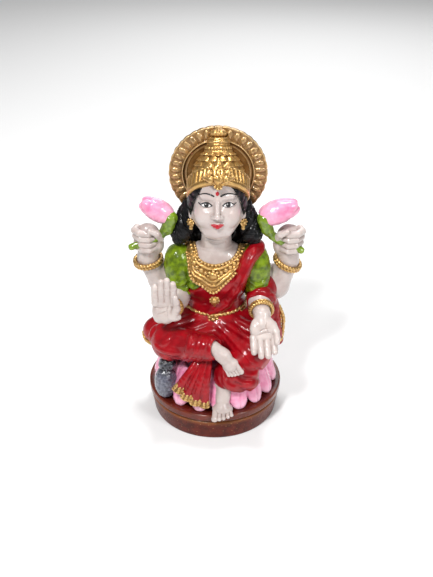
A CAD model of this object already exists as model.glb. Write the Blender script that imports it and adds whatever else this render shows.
"""Looks for the seated goddess statuette: every CAD node is re-sculpted here in fine detail.

Each piece is modelled as a field of distances to its surface, built up from simple forms that are
added, cut and blended, and is then skinned with a mesh. Sculpting is in millimetres, in the row
frame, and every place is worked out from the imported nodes' boxes.
"""

from math import cos, hypot, pi, radians, sin

import bpy
import numpy as np
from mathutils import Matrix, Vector


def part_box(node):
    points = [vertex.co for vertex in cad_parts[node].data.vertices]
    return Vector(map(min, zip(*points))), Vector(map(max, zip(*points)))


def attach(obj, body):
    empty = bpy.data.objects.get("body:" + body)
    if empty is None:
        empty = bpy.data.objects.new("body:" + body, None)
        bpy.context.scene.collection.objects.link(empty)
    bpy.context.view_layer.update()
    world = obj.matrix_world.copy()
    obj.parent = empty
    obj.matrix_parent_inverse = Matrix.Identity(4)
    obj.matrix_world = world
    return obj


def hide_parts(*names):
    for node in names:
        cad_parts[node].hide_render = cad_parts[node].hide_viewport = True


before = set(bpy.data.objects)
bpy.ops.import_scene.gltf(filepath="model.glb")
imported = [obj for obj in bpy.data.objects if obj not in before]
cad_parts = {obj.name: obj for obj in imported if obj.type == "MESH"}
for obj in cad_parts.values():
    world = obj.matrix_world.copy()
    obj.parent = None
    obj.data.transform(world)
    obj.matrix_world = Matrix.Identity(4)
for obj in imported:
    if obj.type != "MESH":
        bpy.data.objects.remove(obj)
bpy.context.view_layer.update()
MM = 0.001
FAR = 1e3  # a distance larger than anything on the figure, in millimetres


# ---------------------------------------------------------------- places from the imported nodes
def spot(node, fx=0.5, fy=0.5, fz=0.5):
    """A point in a node's box, as shares of its width, depth and height, in millimetres."""
    low, high = (np.array(corner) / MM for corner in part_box(node))
    return low + (high - low) * (fx, fy, fz)


def span(node):
    """A node's width, depth and height in millimetres."""
    return spot(node, 1, 1, 1) - spot(node, 0, 0, 0)


def vec(*numbers):
    """A point or direction as an array."""
    return np.array(numbers, float)


def unit(v):
    """A vector's direction."""
    v = np.asarray(v, float)
    return v / np.linalg.norm(v)


# ---------------------------------------------------------------- forms
class Form:
    """A distance function of x, y and z, and the box it is worked out in."""

    def __init__(self, distance, low, high):
        self.distance = distance
        self.low = np.asarray(low, float)
        self.high = np.asarray(high, float)


def turn_to(direction, up=(0, 0, 1)):
    """Three square axes as rows: the first along direction, the third as near up as it can be."""
    first = unit(direction)
    up = np.asarray(up, float)
    if abs(first @ unit(up)) > 0.98:
        up = vec(0, 1, 0)
    second = unit(np.cross(up, first))
    return np.array([first, second, np.cross(first, second)])


def ball(centre, radii, axes=None):
    """An ellipsoid, with its three radii along the rows of axes."""
    centre = np.asarray(centre, float)
    radii = np.broadcast_to(np.asarray(radii, float), 3)
    reach = radii.max()

    def distance(x, y, z):
        p = local(centre, axes, x, y, z)
        near = sum((c / r) ** 2 for c, r in zip(p, radii))
        slope = sum((c / (r * r)) ** 2 for c, r in zip(p, radii))
        k = np.sqrt(near)
        return k * (k - 1) / np.sqrt(slope + 1e-9)

    spread = radii if axes is None else np.full(3, reach)
    return Form(distance, centre - spread, centre + spread)


def local(centre, axes, x, y, z):
    """Coordinates about a centre along the rows of axes."""
    q = (x - centre[0], y - centre[1], z - centre[2])
    if axes is None:
        return q
    return tuple(q[0] * a[0] + q[1] * a[1] + q[2] * a[2] for a in axes)


def rod(start, end, r_start, r_end=None):
    """A straight rod with round ends and an even taper."""
    start, end = np.asarray(start, float), np.asarray(end, float)
    r_end = r_start if r_end is None else r_end
    along = end - start
    square = max(along @ along, 1e-9)

    def distance(x, y, z):
        px, py, pz = x - start[0], y - start[1], z - start[2]
        t = np.clip((px * along[0] + py * along[1] + pz * along[2]) / square, 0, 1)
        gap = np.sqrt((px - t * along[0]) ** 2 + (py - t * along[1]) ** 2 + (pz - t * along[2]) ** 2)
        return gap - (r_start + t * (r_end - r_start))

    r = max(r_start, r_end)
    return Form(distance, np.minimum(start, end) - r, np.maximum(start, end) + r)


def plane(point, normal):
    """Everything behind a plane."""
    point, normal = np.asarray(point, float), unit(normal)

    def distance(x, y, z):
        return (x - point[0]) * normal[0] + (y - point[1]) * normal[1] + (z - point[2]) * normal[2]

    return Form(distance, vec(-FAR, -FAR, -FAR), vec(FAR, FAR, FAR))


def lathe(centre, profile, axes=None):
    """A turned form: profile holds (height, radius) pairs along the third axis."""
    centre = np.asarray(centre, float)
    heights, radii = np.array(profile, float).T
    reach = max(radii.max(), np.abs(heights).max())

    def distance(x, y, z):
        u, v, w = local(centre, axes, x, y, z)
        radius = np.interp(w, heights, radii)
        slant = np.interp(w, heights[:-1], np.abs(np.diff(radii)) / np.maximum(np.diff(heights), 1e-6))
        side = (np.sqrt(u * u + v * v) - radius) / np.sqrt(1 + np.minimum(slant, 4) ** 2)
        return np.maximum(side, np.maximum(heights[0] - w, w - heights[-1]))

    return Form(distance, centre - reach, centre + reach)


def wobble(x, y, z, size, seed=0, layers=5):
    """Smooth, repeatable unevenness between about -1 and 1, with bumps of about the given size."""
    dice = np.random.default_rng(seed)
    total = 0.0
    for _ in range(layers):
        k = dice.normal(size=3)
        k *= 2 * pi / (size * (0.7 + 0.8 * dice.random()) * np.linalg.norm(k))
        total = total + np.sin(k[0] * x + k[1] * y + k[2] * z + 2 * pi * dice.random())
    return total / layers * 1.4


def smoothstep(low, high, value):
    """0 below low, 1 above high and an even S between."""
    t = np.clip((value - low) / (high - low), 0, 1)
    return t * t * (3 - 2 * t)


# ---------------------------------------------------------------- sculpting
class Sculpt:
    """A solid built up in steps, each one a form or a change of the surface."""

    def __init__(self):
        self.steps = []

    def add(self, form, blend=0.0):
        self.steps.append(("add", form, blend))
        return self

    def cut(self, form, blend=0.0):
        self.steps.append(("cut", form, blend))
        return self

    def keep(self, form, blend=0.0):
        self.steps.append(("keep", form, blend))
        return self

    def swell(self, height, low=None, high=None):
        """Moves the surface outwards by height(x, y, z)."""
        everywhere = vec(FAR, FAR, FAR)
        low, high = (-everywhere if low is None else low), (everywhere if high is None else high)
        self.steps.append(("swell", Form(height, low, high), 0.0))
        return self

    def string(self, points, radii, blend=0.0, how="add"):
        """A bent rod through points, with a radius at each or one for all."""
        radii = np.broadcast_to(radii, len(points))
        for i in range(len(points) - 1):
            getattr(self, how)(rod(points[i], points[i + 1], radii[i], radii[i + 1]), blend)
        return self

    def at(self, x, y, z):
        """The distance at loose points, as arrays that broadcast together."""
        d = np.full(np.broadcast(x, y, z).shape, FAR)
        for kind, form, blend in self.steps:
            d = merged(kind, d, form.distance(x, y, z), blend)
        return d

    def box(self):
        """The corners around everything that is added."""
        added = [form for kind, form, _ in self.steps if kind == "add"]
        return np.min([f.low for f in added], 0), np.max([f.high for f in added], 0)

    def field(self, step, low=None, high=None):
        """The distances on a grid of the given step."""
        own_low, own_high = self.box()
        low = own_low - 3 * step if low is None else low
        high = own_high + 3 * step if high is None else high
        axes = [np.arange(a, b + step, step) for a, b in zip(low, high)]
        d = np.full([len(a) for a in axes], FAR, np.float32)
        spare = 3 * step + max([0.6] + [blend for _, _, blend in self.steps])
        for kind, form, blend in self.steps:
            cut = []
            for axis, a, b in zip(axes, form.low, form.high):
                first, last = np.searchsorted(axis, (a - spare, b + spare))
                cut.append(slice(first, last))
            if kind == "keep":
                cut = [slice(None)] * 3
            if any(s.stop is not None and s.stop <= s.start for s in cut):
                continue
            x = axes[0][cut[0]].astype(np.float32)[:, None, None]
            y = axes[1][cut[1]].astype(np.float32)[None, :, None]
            z = axes[2][cut[2]].astype(np.float32)[None, None, :]
            window = tuple(cut)
            d[window] = merged(kind, d[window], form.distance(x, y, z), blend)
        return d, axes


def merged(kind, d, other, blend):
    """The field d after one step of the given kind."""
    if kind == "swell":
        return d - other
    if kind == "cut":
        other = -other
    sign = -1 if kind == "add" else 1
    if blend <= 0:
        return np.minimum(d, other) if kind == "add" else np.maximum(d, other)
    h = np.clip(0.5 + 0.5 * sign * (other - d) / blend, 0, 1)
    return d + (other - d) * h + sign * blend * h * (1 - h)


def skin(d, axes):
    """A quad mesh of the surface where a field is zero: its points, its faces."""
    inside = d < 0
    count = np.zeros([n - 1 for n in d.shape], np.uint8)
    corners = [(i, j, k) for i in (0, 1) for j in (0, 1) for k in (0, 1)]

    def corner(array, c):
        return array[tuple(slice(o, o + n - 1) for o, n in zip(c, d.shape))]

    for c in corners:
        count += corner(inside, c)
    active = (count > 0) & (count < 8)
    number = np.full(active.shape, -1, np.int64)
    cells = np.argwhere(active)
    number[active] = np.arange(len(cells))
    values = {c: corner(d, c)[active].astype(float) for c in corners}
    total = np.zeros((len(cells), 3))
    hits = np.zeros(len(cells))
    for c in corners:
        for axis in range(3):
            if c[axis]:
                continue
            other = tuple(1 if i == axis else o for i, o in enumerate(c))
            a, b = values[c], values[other]
            crossing = (a < 0) != (b < 0)
            share = np.where(crossing, a / np.where(crossing, a - b, 1), 0)
            place = np.tile(np.array(c, float), (len(cells), 1))
            place[:, axis] = share
            total += place * crossing[:, None]
            hits += crossing
    step = axes[0][1] - axes[0][0]
    low = np.array([a[0] for a in axes])
    points = low + (cells + total / hits[:, None]) * step
    faces = []
    for axis in range(3):
        u, v = (axis + 1) % 3, (axis + 2) % 3
        first = [slice(None)] * 3
        second = [slice(None)] * 3
        first[axis], second[axis] = slice(0, -1), slice(1, None)
        a, b = inside[tuple(first)], inside[tuple(second)]
        edges = np.argwhere(a != b)
        edges = edges[(edges[:, u] > 0) & (edges[:, v] > 0)]
        edges = edges[(edges[:, u] < d.shape[u] - 1) & (edges[:, v] < d.shape[v] - 1)]
        leaving = a[tuple(edges.T)]
        ring = []
        for du, dv in ((-1, -1), (0, -1), (0, 0), (-1, 0)):
            cell = edges.copy()
            cell[:, u] += du
            cell[:, v] += dv
            ring.append(number[tuple(cell.T)])
        ring = np.stack(ring, 1)
        ring[~leaving] = ring[~leaving][:, ::-1]
        faces.append(ring)
    return points, np.concatenate(faces)


def curvature(points, faces, rounds):
    """How far each point stands out from its neighbours, smoothed: positive on edges, negative in creases."""
    a = faces.ravel()
    b = np.roll(faces, -1, 1).ravel()
    n = len(points)
    degree = np.bincount(a, minlength=n) + np.bincount(b, minlength=n)

    def average(value):
        return (np.bincount(a, value[b], n) + np.bincount(b, value[a], n)) / np.maximum(degree, 1)

    normal = np.zeros((n, 3))
    p = points[faces]
    face_normal = np.cross(p[:, 2] - p[:, 0], p[:, 3] - p[:, 1])
    for axis in range(3):
        for c in range(4):
            normal[:, axis] += np.bincount(faces[:, c], face_normal[:, axis], n)
    normal /= np.linalg.norm(normal, axis=1)[:, None] + 1e-12
    smooth = points.copy()
    for _ in range(rounds):
        smooth = np.stack([average(smooth[:, i]) for i in range(3)], 1)
    return ((points - smooth) * normal).sum(1), average


def mesh_object(name, points, faces):
    """A smooth-shaded Blender object from points in millimetres."""
    mesh = bpy.data.meshes.new(name)
    mesh.vertices.add(len(points))
    mesh.vertices.foreach_set("co", (points * MM).astype(np.float32).ravel())
    size = faces.shape[1]
    mesh.loops.add(faces.size)
    mesh.loops.foreach_set("vertex_index", faces.astype(np.int32).ravel())
    mesh.polygons.add(len(faces))
    mesh.polygons.foreach_set("loop_start", np.arange(0, faces.size, size, dtype=np.int32))
    mesh.polygons.foreach_set("use_smooth", np.ones(len(faces), bool))
    mesh.update()
    mesh.validate()
    obj = bpy.data.objects.new(name, mesh)
    bpy.context.scene.collection.objects.link(obj)
    return obj


def note(obj, name, values):
    """Stores a number at each point of an object's mesh for its material."""
    attribute = obj.data.attributes.new(name, "FLOAT", "POINT")
    attribute.data.foreach_set("value", np.asarray(values, np.float32))


def finish_piece(obj, material, slot, *nodes):
    """Gives a piece its material and slot, hides the CAD nodes it stands for and ties it to the body."""
    obj.data.materials.append(material)
    if nodes:
        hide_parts(*nodes)
    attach(obj, "root")
    return obj


CREASE_REACH = 0.5  # millimetres over which creases and edges are felt
CREASE_GAIN = 3.2  # how fast a bend darkens a crease or brightens an edge


def piece(name, sculpt, step, material, slot, nodes=None, paint=None, low=None, high=None, grow=None):
    """Skins a sculpt and makes it a piece that stands for its nodes.

    paint maps names to functions of x, y and z whose values the material reads. grow holds a
    centre, how many times larger about it the finished mesh is and the axes it is turned to.
    """
    points, faces = skin(*sculpt.field(step, low, high))
    centre, times_larger, axes = grow or (0, 1, np.eye(3))
    obj = mesh_object(name, centre + (points - centre) @ axes * times_larger, faces)
    bend, average = curvature(points, faces, max(2, int((CREASE_REACH / step) ** 2)))
    bend /= CREASE_REACH
    for _ in range(2):
        bend = average(bend)
    note(obj, "crease", np.clip(-bend * CREASE_GAIN, 0, 1))
    note(obj, "edge", np.clip(bend * CREASE_GAIN, 0, 1))
    for key, function in (paint or {}).items():
        note(obj, key, function(*points.T))
    nodes = [name] if nodes is None else nodes
    return finish_piece(obj, material, slot, *nodes)


# ---------------------------------------------------------------- camera, light and floor
CAMERA = vec(0, -317, 253)
LOOK_DOWN = radians(31.3)
SHIFT = (0.0026, -0.0052)  # the figure stands a little off the picture's middle
LENS = 54.9
SENSOR = 36


def camera():
    """The camera, in front of the figure and above it."""
    data = bpy.data.cameras.new("camera")
    data.sensor_fit = "VERTICAL"
    data.sensor_height = SENSOR
    data.lens = LENS
    data.shift_x, data.shift_y = SHIFT
    data.clip_start = 0.01
    obj = bpy.data.objects.new("camera", data)
    obj.location = CAMERA * MM
    obj.rotation_euler = (pi / 2 - LOOK_DOWN, 0, 0)
    bpy.context.scene.collection.objects.link(obj)
    bpy.context.scene.camera = obj


def lamp(name, place, aim, size, power, colour=(1, 1, 1)):
    """A square soft light that points at a place, both in metres."""
    data = bpy.data.lights.new(name, "AREA")
    data.shape = "SQUARE"
    data.size = size
    data.energy = power
    data.color = colour
    obj = bpy.data.objects.new(name, data)
    obj.location = place
    obj.rotation_euler = (Vector(aim) - Vector(place)).to_track_quat("-Z", "Y").to_euler()
    bpy.context.scene.collection.objects.link(obj)


def stage():
    """A plain pale floor and soft studio light."""
    bpy.ops.mesh.primitive_plane_add(size=6, location=(0, 0, 0))
    floor = bpy.context.object
    floor.name = "floor"
    paint = bpy.data.materials.new("floor_paint")
    paint.use_nodes = True
    shader = paint.node_tree.nodes["Principled BSDF"]
    shader.inputs["Base Color"].default_value = (0.86, 0.86, 0.86, 1)
    shader.inputs["Roughness"].default_value = 0.9
    floor.data.materials.append(paint)
    world = bpy.data.worlds.new("studio")
    world.use_nodes = True
    world.node_tree.nodes["Background"].inputs["Color"].default_value = (1, 1, 1, 1)
    world.node_tree.nodes["Background"].inputs["Strength"].default_value = 0.24
    bpy.context.scene.world = world
    bpy.context.scene.view_settings.view_transform = "Standard"
    middle = (0, 0, 0.07)
    lamp("key", (-0.20, -0.40, 0.62), middle, 0.10, 4.4)
    lamp("fill", (0.45, -0.45, 0.45), middle, 0.16, 2.0)
    lamp("top", (0.05, 0.10, 0.70), middle, 0.12, 2.4)
    lamp("back", (0.1, 0.6, 0.4), middle, 0.4, 1.2)


# ---------------------------------------------------------------- materials
def wire(tree, kind, settings=None, **inputs):
    """Adds a shader node. Inputs are values, or sockets to link; _ stands for a space in a name."""
    made = tree.nodes.new("ShaderNode" + kind)
    for key, value in (settings or {}).items():
        setattr(made, key, value)
    for key, value in inputs.items():
        socket = made.inputs[key.replace("_", " ")]
        if isinstance(value, bpy.types.NodeSocket):
            tree.links.new(value, socket)
        else:
            socket.default_value = value
    return made


def rgb(colour):
    """A colour with full alpha."""
    return (*colour, 1.0)


def cells(tree, size, detail=3.0, rough=0.55):
    """Noise with features of about size millimetres: its value socket."""
    place = wire(tree, "TexCoord").outputs["Object"]
    noise = wire(tree, "TexNoise", Vector=place, Scale=1 / (size * MM), Detail=detail, Roughness=rough)
    return noise.outputs["Fac"]


def ramp(tree, value, low, high):
    """A value spread from 0 at low to 1 at high."""
    made = wire(tree, "MapRange", {"interpolation_type": "SMOOTHSTEP"}, Value=value)
    made.inputs["From Min"].default_value = low
    made.inputs["From Max"].default_value = high
    return made.outputs["Result"]


def times(tree, a, b):
    """Two values or sockets multiplied."""
    made = tree.nodes.new("ShaderNodeMath")
    made.operation = "MULTIPLY"
    for socket, value in zip(made.inputs, (a, b)):
        if isinstance(value, bpy.types.NodeSocket):
            tree.links.new(value, socket)
        else:
            socket.default_value = value
    return made.outputs[0]


def blended(tree, share, under, over):
    """One colour laid over another in a share from 0 to 1."""
    return wire(tree, "MixRGB", Fac=share, Color1=under, Color2=over).outputs["Color"]


def mark(tree, name):
    """The number stored at each point of the mesh under a name."""
    return wire(tree, "Attribute", {"attribute_name": name}).outputs["Fac"]


def resin(name, main, second, crease, edge, **look):
    """Painted and lacquered resin: two mottled tones, a wash in the creases and worn or pale edges.

    look: mottle size, crease and edge strength, roughness, metallic, gloss, coat, bump size and height,
    specks (colour, size, share), marks (name to colour) and glow for a little translucency.
    """
    material = bpy.data.materials.new(name)
    material.use_nodes = True
    tree = material.node_tree
    shader = tree.nodes["Principled BSDF"]
    mottle = ramp(tree, cells(tree, look.get("mottle", 3.0)), 0.35, 0.68)
    colour = blended(tree, mottle, rgb(main), rgb(second))
    for key, over in look.get("marks", {}).items():
        colour = blended(tree, mark(tree, key), colour, rgb(over))
    patchy = ramp(tree, cells(tree, 1.3), 0.25, 0.7)
    soak = times(tree, times(tree, mark(tree, "crease"), look.get("crease_share", 0.9)), patchy)
    if look.get("even_wash"):
        soak = times(tree, mark(tree, "crease"), look.get("crease_share", 0.9))
    colour = blended(tree, soak, colour, rgb(crease))
    worn = times(tree, mark(tree, "edge"), look.get("edge_share", 0.5))
    colour = blended(tree, worn, colour, rgb(edge))
    if "specks" in look:
        tone, size, share = look["specks"]
        dots = ramp(tree, cells(tree, size, 1.0, 0.4), 1 - share, 1 - share + 0.03)
        colour = blended(tree, dots, colour, rgb(tone))
    tree.links.new(colour, shader.inputs["Base Color"])
    rough = look.get("rough", 0.3)
    spread = wire(tree, "MapRange", Value=cells(tree, 1.7, 4.0))
    spread.inputs["From Min"].default_value, spread.inputs["From Max"].default_value = 0.3, 0.7
    spread.inputs["To Min"].default_value, spread.inputs["To Max"].default_value = rough * 0.75, rough * 1.35
    tree.links.new(spread.outputs["Result"], shader.inputs["Roughness"])
    shader.inputs["Metallic"].default_value = look.get("metallic", 0.0)
    shader.inputs["Specular IOR Level"].default_value = look.get("gloss", 0.35)
    shader.inputs["Coat Weight"].default_value = look.get("coat", 0.6)
    shader.inputs["Coat Roughness"].default_value = look.get("coat_rough", 0.08)
    shader.inputs["Subsurface Weight"].default_value = look.get("glow", 0.0)
    shader.inputs["Subsurface Scale"].default_value = 0.002
    shader.inputs["Subsurface Radius"].default_value = (1.0, 0.5, 0.35)
    size, height = look.get("bump", (0.8, 0.05))
    grain = wire(tree, "Bump", Height=cells(tree, size, 4.0), Strength=1.0, Distance=height * MM)
    tree.links.new(grain.outputs["Normal"], shader.inputs["Normal"])
    tree.links.new(grain.outputs["Normal"], shader.inputs["Coat Normal"])
    return material


SKIN = resin(
    "skin_paint", (0.52, 0.45, 0.42), (0.45, 0.37, 0.345), (0.15, 0.060, 0.030), (0.62, 0.56, 0.53),
    mottle=4.0, crease_share=0.85, edge_share=0.4, even_wash=True, rough=0.34, coat=0.5,
    glow=0.10, bump=(1.6, 0.03),
)
FACE = resin(
    "face_paint", (0.53, 0.46, 0.435), (0.49, 0.41, 0.385), (0.24, 0.11, 0.07), (0.62, 0.56, 0.53),
    mottle=6.0, crease_share=0.6, edge_share=0.2, even_wash=True, rough=0.32, coat=0.5,
    glow=0.10, bump=(2.0, 0.015), marks={"blush": (0.62, 0.33, 0.29)},
)
RED = resin(
    "sari_paint", (0.33, 0.0022, 0.0075), (0.21, 0.0016, 0.0055), (0.040, 0.0005, 0.002),
    (0.44, 0.007, 0.014),
    mottle=6.0, crease_share=1.0, edge_share=0.25, rough=0.36, gloss=0.12, coat=0.45, coat_rough=0.05,
    bump=(0.7, 0.045),
)
GREEN = resin(
    "blouse_paint", (0.17, 0.26, 0.006), (0.060, 0.10, 0.004), (0.012, 0.022, 0.003), (0.40, 0.50, 0.03),
    mottle=2.6, crease_share=0.9, edge_share=0.5, rough=0.30, gloss=0.15, coat=0.6, coat_rough=0.07,
    bump=(0.9, 0.055),
)
GOLD = resin(
    "gold_paint", (0.50, 0.285, 0.080), (0.37, 0.185, 0.046), (0.030, 0.012, 0.004), (0.95, 0.68, 0.30),
    mottle=1.5, crease_share=1.0, edge_share=0.7, even_wash=True, rough=0.34, metallic=0.8, coat=0.3,
    bump=(0.5, 0.04),
)
BRONZE = resin(
    "halo_paint", (0.27, 0.135, 0.034), (0.17, 0.080, 0.022), (0.040, 0.016, 0.006), (0.95, 0.68, 0.34),
    mottle=4.5, crease_share=1.0, edge_share=1.0, even_wash=True, rough=0.36, metallic=0.6, coat=0.4,
    specks=((0.55, 0.22, 0.15), 5.0, 0.28), bump=(0.7, 0.06),
)
BLACK = resin(
    "hair_paint", (0.0025, 0.0025, 0.0032), (0.004, 0.004, 0.005), (0.001, 0.001, 0.001),
    (0.009, 0.009, 0.010),
    mottle=2.0, rough=0.42, gloss=0.1, coat=0.25, coat_rough=0.08, bump=(0.6, 0.03),
)
PINK = resin(
    "petal_paint", (0.70, 0.185, 0.345), (0.78, 0.30, 0.46), (0.30, 0.03, 0.09), (0.90, 0.58, 0.68),
    mottle=3.0, crease_share=0.9, edge_share=0.6, rough=0.30, coat=0.9, coat_rough=0.06,
    glow=0.08, bump=(1.2, 0.04),
    marks={"pale": (0.90, 0.55, 0.68)},
)
LEAF = resin(
    "stem_paint", (0.15, 0.24, 0.008), (0.07, 0.13, 0.005), (0.02, 0.035, 0.004), (0.38, 0.48, 0.04),
    mottle=2.0, edge_share=0.5, rough=0.3, coat=0.8, bump=(0.9, 0.05),
)
STAND = resin(
    "stand_paint", (0.115, 0.013, 0.005), (0.060, 0.007, 0.003), (0.010, 0.003, 0.002), (0.34, 0.13, 0.04),
    mottle=3.5, edge_share=0.5, rough=0.34, gloss=0.12, coat=0.2, specks=((0.55, 0.30, 0.10), 0.5, 0.27),
    bump=(0.6, 0.08),
)
DECK = resin(
    "deck_paint", (0.115, 0.011, 0.005), (0.065, 0.007, 0.004), (0.006, 0.002, 0.001), (0.26, 0.07, 0.03),
    mottle=4.0, edge_share=0.5, rough=0.24, gloss=0.15, coat=0.45, coat_rough=0.06, bump=(2.5, 0.05),
)
MAUVE = resin(
    "seat_paint", (0.30, 0.06, 0.14), (0.40, 0.12, 0.22), (0.09, 0.015, 0.04), (0.55, 0.26, 0.36),
    mottle=3.0, rough=0.35, coat=0.7, bump=(1.2, 0.06),
)
OWL = resin(
    "owl_paint", (0.055, 0.058, 0.085), (0.15, 0.155, 0.20), (0.006, 0.006, 0.009), (0.28, 0.29, 0.36),
    mottle=1.3, crease_share=1.0, edge_share=0.6, rough=0.3, coat=0.8, bump=(0.8, 0.07),
    marks={"dark": (0.004, 0.004, 0.006)},
)
WHITE = resin(
    "eye_white", (0.74, 0.71, 0.70), (0.70, 0.66, 0.65), (0.5, 0.42, 0.40), (0.8, 0.78, 0.78),
    rough=0.2, coat=0.6, bump=(1.0, 0.004),
)
INK = resin(
    "black_line", (0.006, 0.005, 0.006), (0.008, 0.007, 0.007), (0.003, 0.003, 0.003), (0.012, 0.012, 0.012),
    rough=0.35, coat=0.4, bump=(1.0, 0.004),
)
LIP = resin(
    "lip_red", (0.42, 0.006, 0.018), (0.35, 0.005, 0.014), (0.14, 0.002, 0.006), (0.50, 0.02, 0.03),
    rough=0.25, coat=0.8, bump=(1.0, 0.01),
)


# Landmarks of the figure, each as shares of the box of the node it belongs to. The places were
# chosen by hand in millimetres and then restated as these shares. R_ and L_ are the figure's own
# right and left, RR_ and RL_ its rear arms.
SEAT = spot("lap", 0, 0, 0)[2]
DECK_TOP = spot("deck", 0, 0, 1)[2]
HIP = spot("lap", 0.521, 0.647, 0.444)
R_KNEE = spot("right_shin_drape", 0.061, 1.021, 0.417)
L_KNEE = spot("left_shin_drape", 0.768, 0.719, 0.746)
R_ANKLE = spot("right_shin_drape", 0.797, 0.307, 0.699)
L_ANKLE = spot("left_shin_drape", 0.313, 0.377, 0.356)
R_FOOT = spot("right_foot", 0.523, 0.371, 0.432)
L_FOOT = spot("left_foot", 0.5, 0.317, 0.115)
WAIST = spot("blouse", 0.49, 0.567, 0)
NECK_ROOT = spot("neck", 0.5, 0.522, 0.223)
R_SHOULDER = spot("right_sleeve", 0.5, 0.607, 0.784)
L_SHOULDER = spot("left_sleeve", 0.387, 0.597, 0.792)
R_ELBOW = spot("right_sleeve", 0.561, 0.365, 0.201)
L_ELBOW = spot("left_sleeve", 0.549, 0.381, 0.197)
R_WRIST = spot("right_forearm", 0.307, 0.231, 0.425)
L_WRIST = spot("left_forearm", 0.595, 0.246, 0.371)
R_PALM = spot("right_hand", 0.47, 0.452, 0.299)
L_PALM = spot("left_hand", 0.447, 0.602, 0.61)
RR_SHOULDER = spot("rear_right_arm", 0.908, 0.584, 0.769)
RR_ELBOW = spot("rear_right_arm", 0.461, 0.536, 0.253)
RR_WRIST = spot("rear_right_arm", 0.212, 0.376, 0.778)
RR_FIST = spot("rear_right_hand", 0.561, 0.429, 0.613)
RL_SHOULDER = spot("rear_left_arm", 0.034, 0.584, 0.791)
RL_ELBOW = spot("rear_left_arm", 0.597, 0.52, 0.229)
RL_WRIST = spot("rear_left_arm", 0.801, 0.376, 0.767)
RL_FIST = spot("rear_left_hand", 0.482, 0.431, 0.631)
HEAD = spot("head", 0.5, 0.578, 0.475)
CROWN = spot("crown_dome", 0.5, 0.45, -0.053)
RIM = spot("crown_band", 0.5, 0.599, -0.026)
HALO = spot("halo_disc", 0.5, 0.621, 0.5)
HALO_FRONT = HALO + vec(0, -1.1, 0)  # hair and crown end here, in front of the disc
OWL_BODY = spot("owl_body", 0.5, 0.5, 0.5)
OWL_HEAD = spot("owl_head", 0.5, 0.5, 0.453)
R_STEM = [spot("right_stem", *share) for share in (
    (0, 0.304, 0.139), (0.33, 0.5, 0.247), (0.619, 0.573, 0.405), (0.815, 0.622, 0.731),
)]
L_STEM = [spot("left_stem", *share) for share in (
    (0.996, 0.305, 0.161), (0.689, 0.5, 0.297), (0.402, 0.573, 0.466), (0.229, 0.622, 0.783),
)]
R_BUD = [spot("right_bud", *share) for share in (
    (0.969, 0.472, 0.151), (0.007, 0.525, 0.881),
)]
L_BUD = [spot("left_bud", *share) for share in (
    (0.056, 0.474, 0.202), (1, 0.522, 0.825),
)]
CROWN_LEAN = 19.0  # degrees that the crown leans back
BAND_LEAN = 50.0  # degrees that its rim slopes down to the back


# ---------------------------------------------------------------- helpers for cloth and limbs
def view_ray():
    """The direction in which the camera sees the figure's lap."""
    return unit(HIP - CAMERA)


def curve(points, count):
    """Points spaced along a smooth curve through a few given ones."""
    points = np.array(points, float)
    padded = np.vstack([2 * points[0] - points[1], points, 2 * points[-1] - points[-2]])
    out = []
    for t in np.linspace(0, len(points) - 1, count):
        i = min(int(t), len(points) - 2)
        u = t - i
        a, b, c, d = padded[i : i + 4]
        bend, twist = 2 * a - 5 * b + 4 * c - d, 3 * b - a - 3 * c + d
        out.append(0.5 * (2 * b + (c - a) * u + bend * u * u + twist * u**3))
    return np.array(out)


def settle(sculpt, points, depth, inward=None, reach=14.0):
    """Moves points along inward until they are depth under a sculpt's surface."""
    inward = view_ray() if inward is None else unit(inward)
    points = np.array(points, float)
    t = np.linspace(-reach, reach, 113)
    p = points[:, None, :] + t[None, :, None] * inward
    d = sculpt.at(p[..., 0], p[..., 1], p[..., 2]) + depth
    under = d < 0
    first = np.where(under.any(1), under.argmax(1), np.abs(d).argmin(1))
    row = np.arange(len(points))
    before = np.maximum(first - 1, 0)
    outer, inner = d[row, before], d[row, first]
    crossed = (outer > 0) & (inner < 0)
    share = np.where(crossed, outer / np.where(crossed, outer - inner, 1.0), 1.0)
    travel = t[before] + (t[first] - t[before]) * share
    return points + travel[:, None] * inward


def tapered(radius, count, ends=0.35):
    """Radii that are full in the middle of a fold and thin at both ends."""
    t = np.linspace(0, 1, count)
    return radius * (ends + (1 - ends) * np.sin(pi * t) ** 0.6)


def moved(lines, step):
    """Lines of points, every point moved by one step."""
    return [np.array(line, float) + np.asarray(step, float) for line in lines]


def folds(sculpt, lines, radius=1.1, stand=0.55, blend=1.3, how="add", inward=None, count=12):
    """Lays soft ridges, or presses grooves, along lines over a sculpt; parts that miss it are left out."""
    base = Sculpt()
    base.steps = list(sculpt.steps)
    for line in lines:
        path = curve(line, count)
        depth = radius - stand if how == "add" else stand - radius
        laid = settle(base, path, depth, inward)
        hit = np.abs(base.at(*laid.T) + depth) < 0.8
        radii = tapered(radius, count)
        for i in range(count - 1):
            if hit[i] and hit[i + 1]:
                getattr(sculpt, how)(rod(laid[i], laid[i + 1], radii[i], radii[i + 1]), blend)
    return sculpt


def shares(s, e, t):
    """The point a share t of the way from s to e."""
    return np.asarray(s) + (np.asarray(e) - np.asarray(s)) * t


def soft(size, height, seed):
    """A swell that makes a surface gently uneven."""
    return lambda x, y, z: height * wobble(x, y, z, size, seed)


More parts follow.
